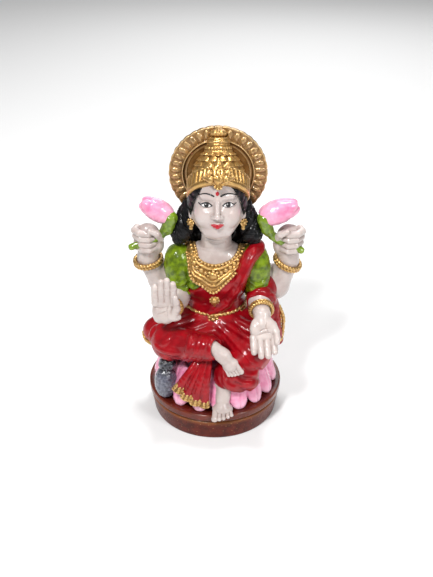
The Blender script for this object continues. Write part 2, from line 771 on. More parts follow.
# ---------------------------------------------------------------- stand and lotus
def revolved(name, profile, segments=200):
    """A turned piece about the frame's Z axis from (radius, height) pairs; poles close at radius 0."""
    angles = np.linspace(0, 2 * pi, segments, endpoint=False)
    rings = [i for i, (r, _) in enumerate(profile) if r > 0]
    points, number = [], {}
    for i, (r, h) in enumerate(profile):
        number[i] = len(points)
        if r > 0:
            points += [(r * cos(a), r * sin(a), h) for a in angles]
        else:
            points.append((0, 0, h))
    faces = []
    for i in range(len(profile) - 1):
        for j in range(segments):
            k = (j + 1) % segments
            low = [number[i] + j, number[i] + k] if i in rings else [number[i]]
            high = [number[i + 1] + k, number[i + 1] + j] if i + 1 in rings else [number[i + 1]]
            faces.append(low + high)
    mesh = bpy.data.meshes.new(name)
    mesh.from_pydata([tuple(c * MM for c in p) for p in points], [], faces)
    mesh.polygons.foreach_set("use_smooth", np.ones(len(faces), bool))
    mesh.update()
    obj = bpy.data.objects.new(name, mesh)
    bpy.context.scene.collection.objects.link(obj)
    radius = np.array([hypot(p[0], p[1]) for p in points])
    height = np.array([p[2] for p in points])
    return obj, radius, height


def rounded(corners, radius, steps=6):
    """A profile with its inner corners rounded."""
    out = [corners[0]]
    for before, corner, after in zip(corners, corners[1:], corners[2:]):
        b, c, a = np.array(before, float), np.array(corner, float), np.array(after, float)
        cut = min(radius, np.linalg.norm(b - c) * 0.45, np.linalg.norm(a - c) * 0.45)
        start, end = c + unit(b - c) * cut, c + unit(a - c) * cut
        for t in np.linspace(0, 1, steps):
            out.append(tuple((1 - t) ** 2 * start + 2 * t * (1 - t) * c + t * t * end))
    out.append(corners[-1])
    return out


def subdivided(profile, step=1.2):
    """A profile with long stretches broken up."""
    out = [profile[0]]
    for a, b in zip(profile, profile[1:]):
        a, b = np.array(a, float), np.array(b, float)
        pieces = max(1, int(np.linalg.norm(b - a) / step))
        out += [tuple(a + (b - a) * k / pieces) for k in range(1, pieces + 1)]
    return out


def stand():
    """The plinth, the groove and the deck."""
    plinth_top = spot("plinth", 0.5, 0.5, 1)[2]
    foot = span("plinth")[0] / 2
    groove = spot("deck", 0, 0, 0)[2] + 3.0 + 0.8
    deck_r = span("deck")[0] / 2
    profile = rounded(
        [(0, 0.0), (foot - 1.4, 0.0), (foot, plinth_top - 0.6), (foot - 1.0, plinth_top + 0.05),
         (0, plinth_top)],
        0.7,
    )
    obj, r, h = revolved("plinth", subdivided(profile))
    note(obj, "crease", smoothstep(foot - 1.2, foot - 2.2, r) * (h > plinth_top - 1))
    note(obj, "edge", np.exp(-(((h - plinth_top + 0.5) / 0.7) ** 2)) * (r > foot - 1.3) * 0.9)
    finish_piece(obj, STAND, "stand_brown", "plinth")
    low = plinth_top + 0.05
    profile = rounded(
        [(0, low), (deck_r - 1.9, low), (deck_r - 1.9, groove), (deck_r, groove),
         (deck_r, DECK_TOP), (0, DECK_TOP)],
        0.8,
    )
    obj, r, h = revolved("deck", subdivided(profile))
    note(obj, "crease", smoothstep(groove + 0.3, groove - 0.2, h))
    note(obj, "edge", np.exp(-(((r - deck_r + 0.3) / 0.35) ** 2)) * (h > groove + 0.2) * 0.6)
    finish_piece(obj, DECK, "deck_lacquer", "deck")


PETALS = 18
OUTER_TURN = -6.0


def petal(turn, radius, height, lean, half):
    """One spoon-shaped petal: half holds its half thickness, width and length."""
    a, tip = radians(turn), radians(lean)
    out = vec(cos(a), sin(a), 0)
    along = vec(0, 0, -1) * cos(tip) + out * sin(tip)
    normal = vec(0, 0, 1) * sin(tip) + out * cos(tip)
    axes = np.array([normal, np.cross(along, normal), along])
    centre = out * radius + vec(0, 0, height)
    thick, wide, long = half

    def distance(x, y, z):
        u, v, w = local(centre, axes, x, y, z)
        s = np.clip(w / long, -1.2, 1.2)
        u = u - 0.5 * s * s + 0.10 * v * v / wide
        body = np.sqrt(np.maximum(1 - np.abs(s) ** 2.6, 0.0)) + 1e-3
        width = wide * body * (1 + 0.12 * s)
        depth = thick * body * (1 - 0.22 * np.exp(-((v / 0.45) ** 2)))
        k = np.sqrt((u / depth) ** 2 + (v / width) ** 2)
        inner = (k - 1) * np.minimum(width, depth) * 0.75
        return np.maximum(inner, (np.abs(s) - 1) * long)

    reach = np.abs(axes).T @ (np.array(half) + vec(0.9, 0.2, 0.2))
    form = Form(distance, centre - reach, centre + reach)
    return form, centre, along, long


def lotus():
    """The seat's core and its two rows of petals."""
    centre = spot("lotus_core")
    low, high = DECK_TOP - 0.3, SEAT
    foot = span("lotus_core")[0] / 2
    core = Sculpt().add(lathe((0, 0, 0), [(low, foot), (high - 1.5, foot * 0.82), (high, foot * 0.76)]))
    core.swell(soft(5, 0.25, 3))
    piece("lotus_core", core, 0.5, MAUVE, "seat_mauve")
    outer_r = span("outer_petals")[0] / 2
    step = 360 / PETALS
    rows = (
        ("outer_petals", OUTER_TURN, outer_r - 3.5, 8.0, 20, (2.4, 4.25, 8.9), 0.26),
        ("inner_petals", OUTER_TURN + step / 2, outer_r - 5.7, 9.6, 19, (2.3, 3.9, 7.9), 0.28),
    )
    for name, turn, radius, height, lean, half, grain in rows:
        row = Sculpt()
        tips = []
        for i in range(PETALS):
            jitter = 1.2 * sin(7.3 * i + turn)
            form, centre, along, long = petal(turn + i * step + jitter, radius, DECK_TOP + height, lean, half)
            row.add(form)
            tips.append(centre + along * long)
        row.keep(plane((0, 0, DECK_TOP), (0, 0, -1)))
        row.swell(soft(3.0, 0.07, 5))
        tips = np.array(tips)

        def pale(x, y, z, tips=tips):
            gap = np.min([np.sqrt((x - t[0]) ** 2 + (y - t[1]) ** 2 + (z - t[2]) ** 2) for t in tips], 0)
            return 0.65 * smoothstep(6.5, 1.5, gap)

        piece(name, row, grain, PINK, "petal_pink", paint={"pale": pale})


def owl():
    """The bird beside the lotus, with overlapping feathers and a dark hood."""
    body = Sculpt().add(ball(OWL_BODY, (4.5, 4.3, 7.8), turn_to((1, 0, 0))))
    body.add(ball(OWL_BODY + vec(3.2, 1.5, -1.0), (2.0, 3.4, 6.0)), 1.0)

    def feathers(x, y, z):
        turn = np.arctan2(x - OWL_BODY[0], -(y - OWL_BODY[1]))
        row = (z - OWL_BODY[2]) / 1.9
        shift = np.where(np.floor(row) % 2 == 0, 0.0, 0.5)
        across = np.abs(((turn / 0.42 + shift) % 1) - 0.5) * 2
        down = row - np.floor(row)
        return 0.32 * (1 - down) * np.sqrt(np.clip(1 - across**2, 0, 1)) + 0.10 * wobble(x, y, z, 2.2, 8)

    body.swell(feathers)
    body.keep(plane((0, 0, DECK_TOP), (0, 0, -1)))

    def hood(x, y, z):
        edge = z + 0.6 * wobble(x, y, z, 3, 2)
        return 0.9 * smoothstep(OWL_BODY[2] + 4.2, OWL_BODY[2] + 7.0, edge)

    piece("owl_body", body, 0.22, OWL, "owl_grey", paint={"dark": hood})
    head = Sculpt().add(ball(OWL_HEAD, (3.7, 3.5, 3.4)))
    for side in (-1, 1):
        head.add(ball(OWL_HEAD + vec(side * 1.5, -2.3, 0.3), (1.5, 1.1, 1.5)), 0.4)
        head.cut(ball(OWL_HEAD + vec(side * 1.5, -3.5, 0.3), 0.55), 0.2)
        ear = [OWL_HEAD + vec(side * 2.0, -1.2, 2.2), OWL_HEAD + vec(side * 2.7, -1.2, 3.2)]
        head.add(rod(*ear, 0.9, 0.4), 0.5)
    head.add(rod(OWL_HEAD + vec(0, -3.2, -0.1), OWL_HEAD + vec(0, -4.0, -1.4), 0.55, 0.2), 0.2)
    head.swell(soft(1.4, 0.10, 4))
    piece("owl_head", head, 0.22, OWL, "owl_grey", paint={"dark": lambda x, y, z: 0.92 + 0 * x})


# ---------------------------------------------------------------- legs and sari
def thighs():
    """The seated hips and both thighs under smooth cloth."""
    s = Sculpt().add(ball(HIP, (19.3, 13.8, 12.3)))
    s.add(rod(HIP + vec(-7.5, -5.0, -0.5), R_KNEE, 9.3, 8.1), 3.5)
    s.add(rod(HIP + vec(7.5, -5.0, -0.5), L_KNEE, 9.3, 8.1), 3.5)
    return s


# Ridges over the lap as places from the middle of the hips.
RIGHT_THIGH_FOLDS = [
    [(-8.0, -12.0, 9.6), (-14.0, -12.0, 7.6), (-20.0, -12.0, 4.2)],
    [(-3.5, -14.0, 8.2), (-10.0, -16.0, 6.6), (-17.0, -18.0, 3.6), (-22.0, -18.0, -0.4)],
    [(-20.3, -12.0, 6.0), (-24.5, -10.0, 2.0), (-26.1, -10.0, -3.0)],
    [(0, -15.0, 5.6), (-5.0, -18.0, 6.0), (-10.5, -20.0, 5.4)],
]
LEFT_THIGH_FOLDS = [
    [(1.5, -15.0, 7.6), (7.1, -18.0, 1.8), (13.5, -22.0, -4.4), (20.1, -22.0, -9.0)],
    [(4.9, -14.0, 8.0), (11.5, -15.0, 2.6), (18.5, -16.0, -1.4), (23.5, -14.0, -2.8)],
    [(9.5, -11.0, 8.2), (14.5, -11.0, 4.4), (20.5, -11.0, 2.4)],
    [(-0.1, -16.0, 5.4), (3.1, -19.0, 1.6), (7.1, -22.0, -3.0)],
]
BACK_FOLDS = [
    [(-14.5, 12.0, 5.0), (-5.5, 14.0, 0), (6.5, 14.0, 0), (15.5, 12.0, 5.0)],
    [(-15.5, 12.0, 0), (-6.5, 14.0, -4.0), (7.5, 14.0, -4.0), (16.5, 12.0, 0)],
    [(-16.5, 11.0, -5.0), (-7.5, 13.0, -7.5), (8.5, 13.0, -7.5), (17.5, 11.0, -5.0)],
]


def lap():
    """The lap's cloth with its folds, closed flat where it sits."""
    s = thighs()
    left = moved(LEFT_THIGH_FOLDS, HIP)
    folds(s, moved(RIGHT_THIGH_FOLDS, HIP), 1.3, 0.55, 1.6)
    folds(s, left, 1.6, 0.6, 1.8)
    folds(s, moved(left, (0, 0, -2.0)), 0.9, 0.35, 1.2, "cut")
    folds(s, moved(BACK_FOLDS, HIP), 1.4, 0.6, 1.6, inward=(0, -1, 0))
    s.swell(soft(6.0, 0.12, 21))
    s.keep(plane((0, 0, SEAT), (0, 0, -1)), 0.6)
    piece("lap", s, 0.32, RED, "sari_red")


def right_shin():
    """The cloth over the right shin, gathered in soft rings where the foot comes out."""
    s = Sculpt().add(rod(R_KNEE, R_ANKLE, 7.8, 5.2))
    s.add(ball(shares(R_KNEE, R_ANKLE, 0.95) + vec(0, 0.3, -0.6), (3.4, 4.6, 5.6)), 2.0)
    rings = []
    for k, (share, height) in enumerate(((0.50, 5.9), (0.63, 5.6), (0.76, 5.4), (0.89, 5.2))):
        c = shares(R_KNEE, R_ANKLE, share)
        rings.append([
            c + vec(1.0, -1.5, height),
            c + vec(0.4 - 0.3 * k, -5.5, 3.0),
            c + vec(-1.2 - 0.4 * k, -6.5, -1.6),
            c + vec(-3.4 - 0.5 * k, -5.0, -5.8),
        ])
    folds(s, rings, 1.2, 0.55, 1.1)
    grooves = [[p + vec(1.4, 0, -0.3) for p in ring] for ring in rings]
    folds(s, grooves, 0.7, 0.3, 0.8, "cut")
    sweep = [[(-5.1, -4.7, -1.7), (1.4, -6.7, -4.9), (8.9, -7.7, -5.7), (14.9, -9.7, -3.7)],
             [(-6.1, -4.7, 1.7), (-1.1, -7.7, 0.7), (4.9, -9.7, 1.1)]]
    folds(s, moved(sweep, R_KNEE), 1.3, 0.6, 1.4)
    s.swell(soft(4.5, 0.10, 22))
    opening = unit(R_ANKLE - R_KNEE)
    s.cut(ball(R_ANKLE + opening * 4.4, (3.4, 3.9, 3.9), turn_to(opening)), 0.6)
    piece("right_shin_drape", s, 0.28, RED, "sari_red")


def left_shin():
    """The cloth down the left shin to its hem above the foot."""
    s = Sculpt().add(rod(L_KNEE, L_ANKLE, 7.8, 6.4))
    s.add(rod(L_ANKLE + vec(-1.6, 0.6, -0.6), L_ANKLE + vec(6.4, -0.2, -1.6), 5.0, 5.0), 2.5)
    s.add(rod(L_ANKLE + vec(-2.2, -0.8, -3.6), L_ANKLE + vec(8.5, -0.6, -3.6), 2.9, 3.0), 2.5)
    lines = [
        [(-6.2, -8.5, -2.2), (-1.2, -8.5, -5.8), (4.2, -5.5, -6.6)],
        [(-8.4, -9.5, -3.6), (-3.8, -10.5, -8.4), (2.2, -7.5, -10.2)],
        [(-11.8, -10.5, -3.6), (-9.4, -11.5, -9.0), (-4.4, -10.5, -12.2)],
    ]
    lines = moved(lines, L_KNEE)
    folds(s, lines, 1.5, 0.6, 1.5)
    folds(s, moved(lines, (-0.3, 0, 1.9)), 0.8, 0.35, 1.0, "cut")
    hem = [(-14.6, -9.5, -10.8), (-11.8, -11.5, -12.6), (-7.2, -11.5, -13.8), (-2.2, -9.5, -13.6),
           (1.6, -5.5, -12.2)]
    folds(s, moved([hem], L_KNEE), 1.0, 0.55, 0.9)
    s.swell(soft(5.0, 0.12, 23))
    s.cut(ball(L_FOOT + vec(0.7, 3.6, 7.4), (3.9, 3.6, 3.6)), 0.8)
    piece("left_shin_drape", s, 0.28, RED, "sari_red")


# Where each pleat starts and ends, as places from the right ankle.
PLEAT_ROOTS = ((-4.2, 2.4, -6.6), (-2.8, 1.4, -6.4), (-1.4, 0.8, -6.4), (0.2, 0.4, -6.6))
PLEAT_TIPS = ((-11.8, -1.2, -18.0), (-9.0, -2.4, -20.8), (-5.6, -3.2, -22.8), (-2.2, -3.4, -23.8))


def pleats():
    """The fan of pleats that falls from the lap, and its gold border."""
    cloth = Sculpt()
    cloth.add(rod(R_ANKLE + vec(-2.4, 2.8, -7.1), R_ANKLE + vec(-6.4, -0.8, -19.6), 2.3, 3.0))
    roots, tips = moved([PLEAT_ROOTS, PLEAT_TIPS], R_ANKLE)
    border = Sculpt()
    for root, tip in zip(roots, tips):
        bow = shares(root, tip, 0.55) + vec(-0.2, -1.3, 0.6)
        path = curve([root, bow, tip], 9)
        cloth.string(path, np.linspace(1.0, 2.1, 9), 0.2)
        end = unit(path[-1] - path[-2])
        across = unit(vec(1, -0.25, -0.42))
        flat = turn_to(end, np.cross(end, across))
        for out, wide in ((0.9, 2.3), (2.2, 2.5), (3.6, 2.6)):
            border.add(ball(tip + end * out + vec(0, -0.4, 0.2), (1.3, wide, 1.9 - 0.16 * out), flat), 0.25)
        for off in (-1.1, 1.1):
            start = tip + flat[1] * off * 0.6 - flat[2] * 0.1
            finish = start + flat[1] * off * 0.5 + end * 3.8 + vec(0, -1.6, 0)
            border.cut(rod(start + vec(0, -1.9, 0.6), finish, 0.35, 0.5), 0.4)
    for k in range(3):
        start = shares(roots[k], roots[k + 1], 0.5)
        end = shares(tips[k], tips[k + 1], 0.5)
        middle = shares(start, end, 0.5) + vec(0, -3.1, 0.6)
        path = curve([start + vec(0, -1.2, 0), middle, end + vec(0, -2.2, 0)], 9)
        cloth.string(path, np.linspace(0.35, 0.65, 9), 0.3, "cut")
    cloth.swell(soft(3.0, 0.08, 24))
    border.swell(soft(1.6, 0.10, 25))
    border.keep(plane((0, 0, DECK_TOP + 0.2), (0, 0, -1)))
    piece("sari_pleats", cloth, 0.22, RED, "sari_red")
    piece("pleat_border", border, 0.17, GOLD, "gold_paint")


# ---------------------------------------------------------------- feet
def toes(s, roots, tips, radii, blend=0.25):
    """Toes with rounded pads and small nails."""
    for root, tip, radius in zip(roots, tips, radii):
        root, tip = np.asarray(root, float), np.asarray(tip, float)
        s.add(rod(root, tip, radius * 0.92, radius * 0.94), blend)
        s.add(ball(tip, radius * 1.06), 0.15)


def feet():
    """The crossed right foot and the hanging left foot."""
    s = Sculpt()
    heel = R_FOOT + vec(-5.0, 2.2, 4.6)
    mid = R_FOOT + vec(-0.6, 0.5, 1.6)
    ball_joint = R_FOOT + vec(2.5, -0.3, -2.6)
    s.add(rod(heel, mid, 3.0, 2.9))
    s.add(rod(mid, ball_joint, 2.9, 2.5), 1.5)
    down = unit(vec(0.50, -0.22, -0.84))
    across = unit(np.cross(down, vec(0, -1, 0.3)))
    across = across if across[0] > 0 else -across
    s.add(ball(ball_joint, (3.3, 2.2, 2.6), np.array([across, np.cross(across, down), down])), 1.2)
    s.add(ball(heel + vec(2.4, -1.4, -2.4), 1.2), 0.9)
    root = ball_joint + down * 1.2 + vec(0, -0.7, 0)
    spread = (2.35, 0.95, -0.3, -1.45, -2.5)
    length = (3.1, 3.2, 2.9, 2.5, 1.9)
    toes(
        s,
        [root + across * a for a in spread],
        [root + across * (a * 1.06) + down * l for a, l in zip(spread, length)],
        (1.08, 0.80, 0.74, 0.70, 0.66),
    )
    s.swell(soft(2.5, 0.04, 31))
    piece("right_foot", s, 0.15, SKIN, "skin_ivory")
    s = Sculpt()
    ankle = L_FOOT + vec(0.6, 4.6, 10.0)
    s.add(rod(ankle, L_FOOT + vec(0.2, 3.4, 5.4), 3.3, 3.1))
    s.add(rod(L_FOOT + vec(0.2, 3.6, 5.2), L_FOOT + vec(0.2, 0.2, 1.2), 3.1, 2.7), 1.6)
    s.add(ball(L_FOOT + vec(0.3, 0.3, 0.6), (4.4, 3.0, 2.2)), 1.6)
    s.add(ball(ankle + vec(2.6, -0.6, 0.0), 1.1), 1.0)
    s.add(ball(ankle + vec(-2.5, -0.4, 0.6), 1.2), 1.0)
    root = L_FOOT + vec(0.2, -1.4, 0.3)
    spread = (-2.95, -1.15, 0.45, 2.0, 3.45)
    length = (3.3, 3.3, 2.9, 2.3, 1.5)
    toes(
        s,
        [root + vec(a, 0.2, 0.2) for a in spread],
        [root + vec(a * 1.12, -0.90 * l, -0.44 * l) for a, l in zip(spread, length)],
        (1.3, 0.90, 0.83, 0.78, 0.74),
    )
    s.keep(plane((0, 0, DECK_TOP - 0.6), (0, 0, -1)), 0.3)
    s.swell(soft(2.5, 0.04, 32))
    piece("left_foot", s, 0.15, SKIN, "skin_ivory")


# ---------------------------------------------------------------- trunk
TRUNK = (  # height over the waist, half width, half depth, middle in Y
    (-2, 12.6, 9.0, 2.2), (0, 12.4, 8.8, 2.2), (6, 11.7, 8.3, 1.9), (10, 11.5, 8.3, 1.6),
    (14, 12.4, 9.0, 1.1), (18, 13.6, 9.9, 0.7), (22, 14.5, 10.0, 0.6), (25, 15.0, 9.2, 0.8),
    (28, 14.2, 8.3, 0.9), (30.5, 12.6, 7.4, 1.0), (33, 9.2, 6.4, 0.9), (34, 7.4, 5.8, 0.8),
)


def trunk(grow):
    """The trunk's smooth form, larger all round by grow."""
    heights, widths, depths, middles = np.array(TRUNK).T
    heights = heights + WAIST[2]

    def distance(x, y, z):
        w = np.interp(z, heights, widths) + grow
        h = np.interp(z, heights, depths) + grow
        k = np.sqrt((x / w) ** 2 + ((y - np.interp(z, heights, middles)) / h) ** 2)
        side = (k - 1) * np.minimum(w, h)
        return np.maximum(side * 0.92, np.maximum(heights[0] - z, z - heights[-1] - grow * 0.5))

    half = vec(15 + grow, 12 + grow, 0)
    return Form(distance, vec(0, 0, heights[0]) - half, vec(0, 2, heights[-1] + 1) + half)


def bust(s, grow):
    """Adds the trunk with a soft bust to a sculpt."""
    s.add(trunk(grow))
    for side in (-1, 1):
        s.add(ball(WAIST + vec(side * 5.4, -6.4, 19.2), (5.0 + grow, 4.6 + grow, 4.8 + grow)), 3.0)
    return s


# The necklace's edges seen from the front: X and Z from the root of the neck, at COLLAR_Y from it.
NECKLINE = (
    (-8.9, 13.0), (-7.9, 8.0), (-7.2, 4.6), (-4.5, 2.2), (-1.0, 1.1), (3.1, 1.8), (6.5, 3.8),
    (8.7, 7.0), (10.1, 12.0),
)
COLLAR = (
    (-12.7, 13.0), (-11.5, 4.0), (-10.1, -5.5), (-5.5, -9.4), (-1.0, -12.8), (3.5, -8.6), (7.7, -3.4),
    (12.1, 3.0), (14.9, 12.0),
)
COLLAR_Y = -9.3


def outline(points):
    """The signed distance to a closed flat outline of (x, z) points, below zero inside it."""
    points = np.array(points, float)

    def inside(x, z):
        d = np.full(np.broadcast(x, z).shape, FAR)
        within = np.zeros(d.shape, bool)
        for a, b in zip(points, np.roll(points, -1, 0)):
            dx, dz = b - a
            t = np.clip(((x - a[0]) * dx + (z - a[1]) * dz) / (dx * dx + dz * dz), 0, 1)
            d = np.minimum(d, np.sqrt((x - a[0] - t * dx) ** 2 + (z - a[1] - t * dz) ** 2))
            crosses = (a[1] > z) != (b[1] > z)
            side = x < a[0] + dx * (z - a[1]) / (dz if abs(dz) > 1e-9 else 1e-9)
            within ^= crosses & side
        return np.where(within, -d, d)

    return inside


def seen_through(inside, y_plane):
    """A form that reaches along the camera's line of sight through a flat shape at a depth."""
    ray = view_ray()

    def distance(x, y, z):
        t = (y_plane - y) / ray[1]
        return inside(x + t * ray[0], z + t * ray[2])

    return Form(distance, vec(-FAR, -FAR, -FAR), vec(FAR, FAR, FAR))


def neck_opening():
    """The bare neck and chest inside the necklace."""
    edge = NECKLINE + ((11.7, 22.0), (-8.3, 22.0))
    hole = outline([(NECK_ROOT[0] + x, NECK_ROOT[2] + z) for x, z in edge])
    return seen_through(hole, NECK_ROOT[1] + COLLAR_Y)


def blouse():
    """The green blouse under the sari, with soft wrinkles."""
    s = bust(Sculpt(), 0.0)
    s.add(ball(R_SHOULDER + vec(2.2, 0, -0.6), (5.2, 5.6, 5.0)), 2.5)
    s.add(ball(L_SHOULDER + vec(-2.2, 0, -0.6), (5.2, 5.6, 5.0)), 2.5)
    wrinkles = [
        [(3.5, -8.5, -4.0), (6.5, -9.5, -6.0), (9.0, -9.5, -6.5)],
        [(3.0, -8.5, -7.0), (5.5, -9.5, -8.5), (7.5, -9.5, -8.5)],
    ]
    folds(s, moved(wrinkles, R_SHOULDER), 0.8, 0.3, 0.9)
    s.swell(soft(3.5, 0.10, 41))
    piece("blouse", s, 0.34, GREEN, "blouse_green")


def sleeve(name, shoulder, elbow, seed, side):
    """A puffed half sleeve with a turned-up hem."""
    end = shares(shoulder, elbow, 0.98)
    along = unit(elbow - shoulder)
    s = Sculpt().add(rod(shoulder, end, 5.7, 5.2))
    s.add(ball(shares(shoulder, elbow, 0.28) + vec(side * 0.2, 0, 0), (5.9, 5.8, 6.6)), 2.0)
    lines = [
        [shares(shoulder, elbow, t) + vec(-side * 5.0, -3.5, 1.5),
         shares(shoulder, elbow, t + 0.1) + vec(0, -6.0, 0),
         shares(shoulder, elbow, t + 0.05) + vec(side * 4.6, -3.0, 1.0)]
        for t in (0.45, 0.66)
    ]
    folds(s, lines, 0.9, 0.35, 0.9)
    s.swell(soft(3.2, 0.10, seed))
    s.keep(plane(end, along), 0.4)
    around_hem = [np.cross(along, (cos(a), sin(a), 0.01)) for a in np.linspace(0, 2 * pi, 25)]
    s.string([end - along * 0.5 + 5.1 * unit(out) for out in around_hem], 0.55, 0.4)
    s.cut(ball(end + along * 1.0, (4.5, 4.5, 1.6)), 0.4)
    piece(name, s, 0.28, GREEN, "blouse_green")


def bodice():
    """The sari drawn across the chest, its folds running along its diagonal edge."""
    s = bust(Sculpt(), 1.2)
    s.keep(plane(WAIST + vec(-10.9, -8.0, 15.6), (-0.62, -0.05, 0.78)), 0.5)
    shoulder = [L_SHOULDER + vec(-5.8, -9.0, -5.5), L_SHOULDER + vec(-2.2, -5.6, 2.6),
                L_SHOULDER + vec(0.9, -1.0, 4.4), L_SHOULDER + vec(1.0, 4.0, 3.0)]
    s.string(curve(shoulder, 10), np.linspace(2.5, 2.8, 10), 1.6)
    strokes = []
    for k in range(4):
        slide = 3.6 * k
        strokes.append([
            (0.1 - 1.0 * k, -6.5, 8.0 - 0.2 * slide), (-3.1 - 0.9 * k, -10.5, 1.6 - 0.55 * slide),
            (-7.7 - 0.8 * k, -12.5, -7.6 - 0.55 * slide), (-14.3 - 0.8 * k, -12.5, -14.6 - 0.35 * slide),
            (-22.9 - 0.3 * k, -11.5, -17.4 - 0.3 * slide),
        ])
    strokes = moved(strokes, L_SHOULDER)
    folds(s, strokes, 1.4, 0.55, 1.4)
    folds(s, moved(strokes, (-1.1, 0, -0.9)), 0.8, 0.4, 0.9, "cut")
    s.swell(soft(4.0, 0.10, 43))
    s.cut(neck_opening(), 0.3)
    piece("sari_bodice", s, 0.28, RED, "sari_red")


def elbow_cloth():
    """The sari's end over the left elbow, hanging behind the arm to a gold edge."""
    top, low = L_ELBOW + vec(1.4, 2.7, 1.6), L_ELBOW + vec(7.4, 3.1, -22.0)
    s = Sculpt().add(rod(top, L_ELBOW + vec(0.8, -3.1, -1.0), 6.5, 6.0))
    s.add(rod(top + vec(1.0, 0.8, -1.0), low, 5.0, 3.6), 2.0)
    s.add(rod(low + vec(-1.5, -0.5, 2.0), low + vec(1.5, 0.6, -3.6), 3.2, 3.0), 1.5)
    lines = [
        [(2.8, -3.5, 2.0), (6.2, -0.5, -2.0), (8.4, 2.5, -10.0), (9.2, 2.5, -20.0)],
        [(-1.2, -6.5, 3.4), (4.4, -3.5, 0.2), (7.2, -0.5, -6.0), (8.2, -0.5, -16.0)],
        [(-4.0, -5.5, 2.0), (-0.2, -6.5, 4.6), (4.4, -3.5, 3.6)],
        [(4.8, -2.5, -8.0), (6.2, -2.5, -14.0), (7.0, -1.5, -22.0)],
    ]
    lines = moved(lines, L_ELBOW)
    folds(s, lines, 1.2, 0.6, 1.1)
    folds(s, moved(lines[:2], (-1.3, 0, 0)), 0.8, 0.4, 0.7, "cut")
    s.swell(soft(4.0, 0.12, 44))
    s.cut(ball(L_ELBOW + vec(0.8, -8.4, -1.8), (4.9, 3.2, 4.7)), 0.5)
    piece("elbow_drape", s, 0.30, RED, "sari_red")
    trim = Sculpt()
    rim = [(9.4, 0.9, -7.0), (11.2, 1.7, -13.0), (11.4, 2.1, -20.0), (10.4, 2.3, -25.0), (7.4, 1.3, -26.4)]
    laid = settle(s, curve(moved([rim], L_ELBOW)[0], 16), 0.35)
    trim.string(laid, 0.72, 0.3)
    trim.string(laid + vec(-1.3, -0.2, 0), 0.4, 0.3)
    trim.swell(soft(1.2, 0.08, 45))
    piece("elbow_drape_trim", trim, 0.16, GOLD, "gold_paint", nodes=[])


def hip_cloth():
    """The cloth end that spreads behind the right hip."""
    root, low = HIP + vec(-15.1, 1.5, 6.0), HIP + vec(-26.3, -1.0, -4.2)
    s = Sculpt().add(rod(root, low, 5.2, 4.6))
    s.add(rod(low + vec(0.6, 0, 1.6), low + vec(-0.2, 0.4, -2.2), 4.3, 3.4), 1.5)
    lines = [
        [(-15.5, -4.0, 9.4), (-21.5, -5.0, 5.0), (-27.5, -5.0, -1.0)],
        [(-17.5, -4.0, 6.6), (-23.1, -5.0, 1.6), (-27.5, -5.0, -5.0)],
        [(-19.1, -4.0, 3.0), (-23.1, -5.0, -2.0), (-25.9, -5.0, -7.4)],
    ]
    folds(s, moved(lines, HIP), 1.1, 0.55, 1.1)
    s.swell(soft(4.0, 0.12, 46))
    piece("hip_drape", s, 0.30, RED, "sari_red")
    trim = Sculpt()
    rim = [(-30.7, -3.6, -3.4), (-29.9, -4.0, -6.6), (-27.9, -4.2, -8.6), (-25.3, -4.4, -9.4)]
    laid = settle(s, curve(moved([rim], HIP)[0], 12), 0.3)
    trim.string(laid, 0.75, 0.3)
    trim.string(laid + vec(0.5, -0.1, 1.3), 0.4, 0.3)
    trim.swell(soft(1.2, 0.08, 47))
    piece("hip_drape_trim", trim, 0.16, GOLD, "gold_paint", nodes=[])


# ---------------------------------------------------------------- jewellery on the trunk
def belt():
    """The double waist belt, its clasp and the pendant above."""
    over = bust(Sculpt(), 1.25)
    s = Sculpt()
    for drop, radius in ((0.0, 0.72), (-1.9, 0.72)):
        ring = []
        for a in np.linspace(-pi, pi, 61):
            front = -cos(a)
            ring.append((12.9 * sin(a), 2.0 + 9.3 * front, WAIST[2] + 7.0 + drop + 2.6 * min(front, 0.0)))
        ring = np.array(ring)
        inward = np.stack([-ring[:, 0], 2.0 - ring[:, 1], 0 * ring[:, 0]], 1)
        laid = np.array([settle(over, [p], 0.1, n, 5.0)[0] for p, n in zip(ring, inward)])
        s.string(laid, radius, 0.2)
    s.swell(lambda x, y, z: 0.14 * np.cos(3.6 * (x + 0.4 * z)) + 0.05 * wobble(x, y, z, 1.5, 48))
    piece("waist_belt", s, 0.2, GOLD, "gold_paint")
    clasp = spot("belt_clasp")
    clasp = settle(over, [clasp], 0.0, (0, 1, 0))[0]
    s = Sculpt().add(ball(clasp + vec(0, -0.2, -0.6), (2.4, 1.1, 2.3)))
    for k in range(7):
        a = 2 * pi * k / 7
        s.add(ball(clasp + vec(1.75 * cos(a), -0.8, 1.7 * sin(a) - 0.6), 0.62), 0.15)
    s.add(ball(clasp + vec(0, -1.3, -0.6), 0.95), 0.15)
    piece("belt_clasp", s, 0.14, GOLD, "gold_paint")


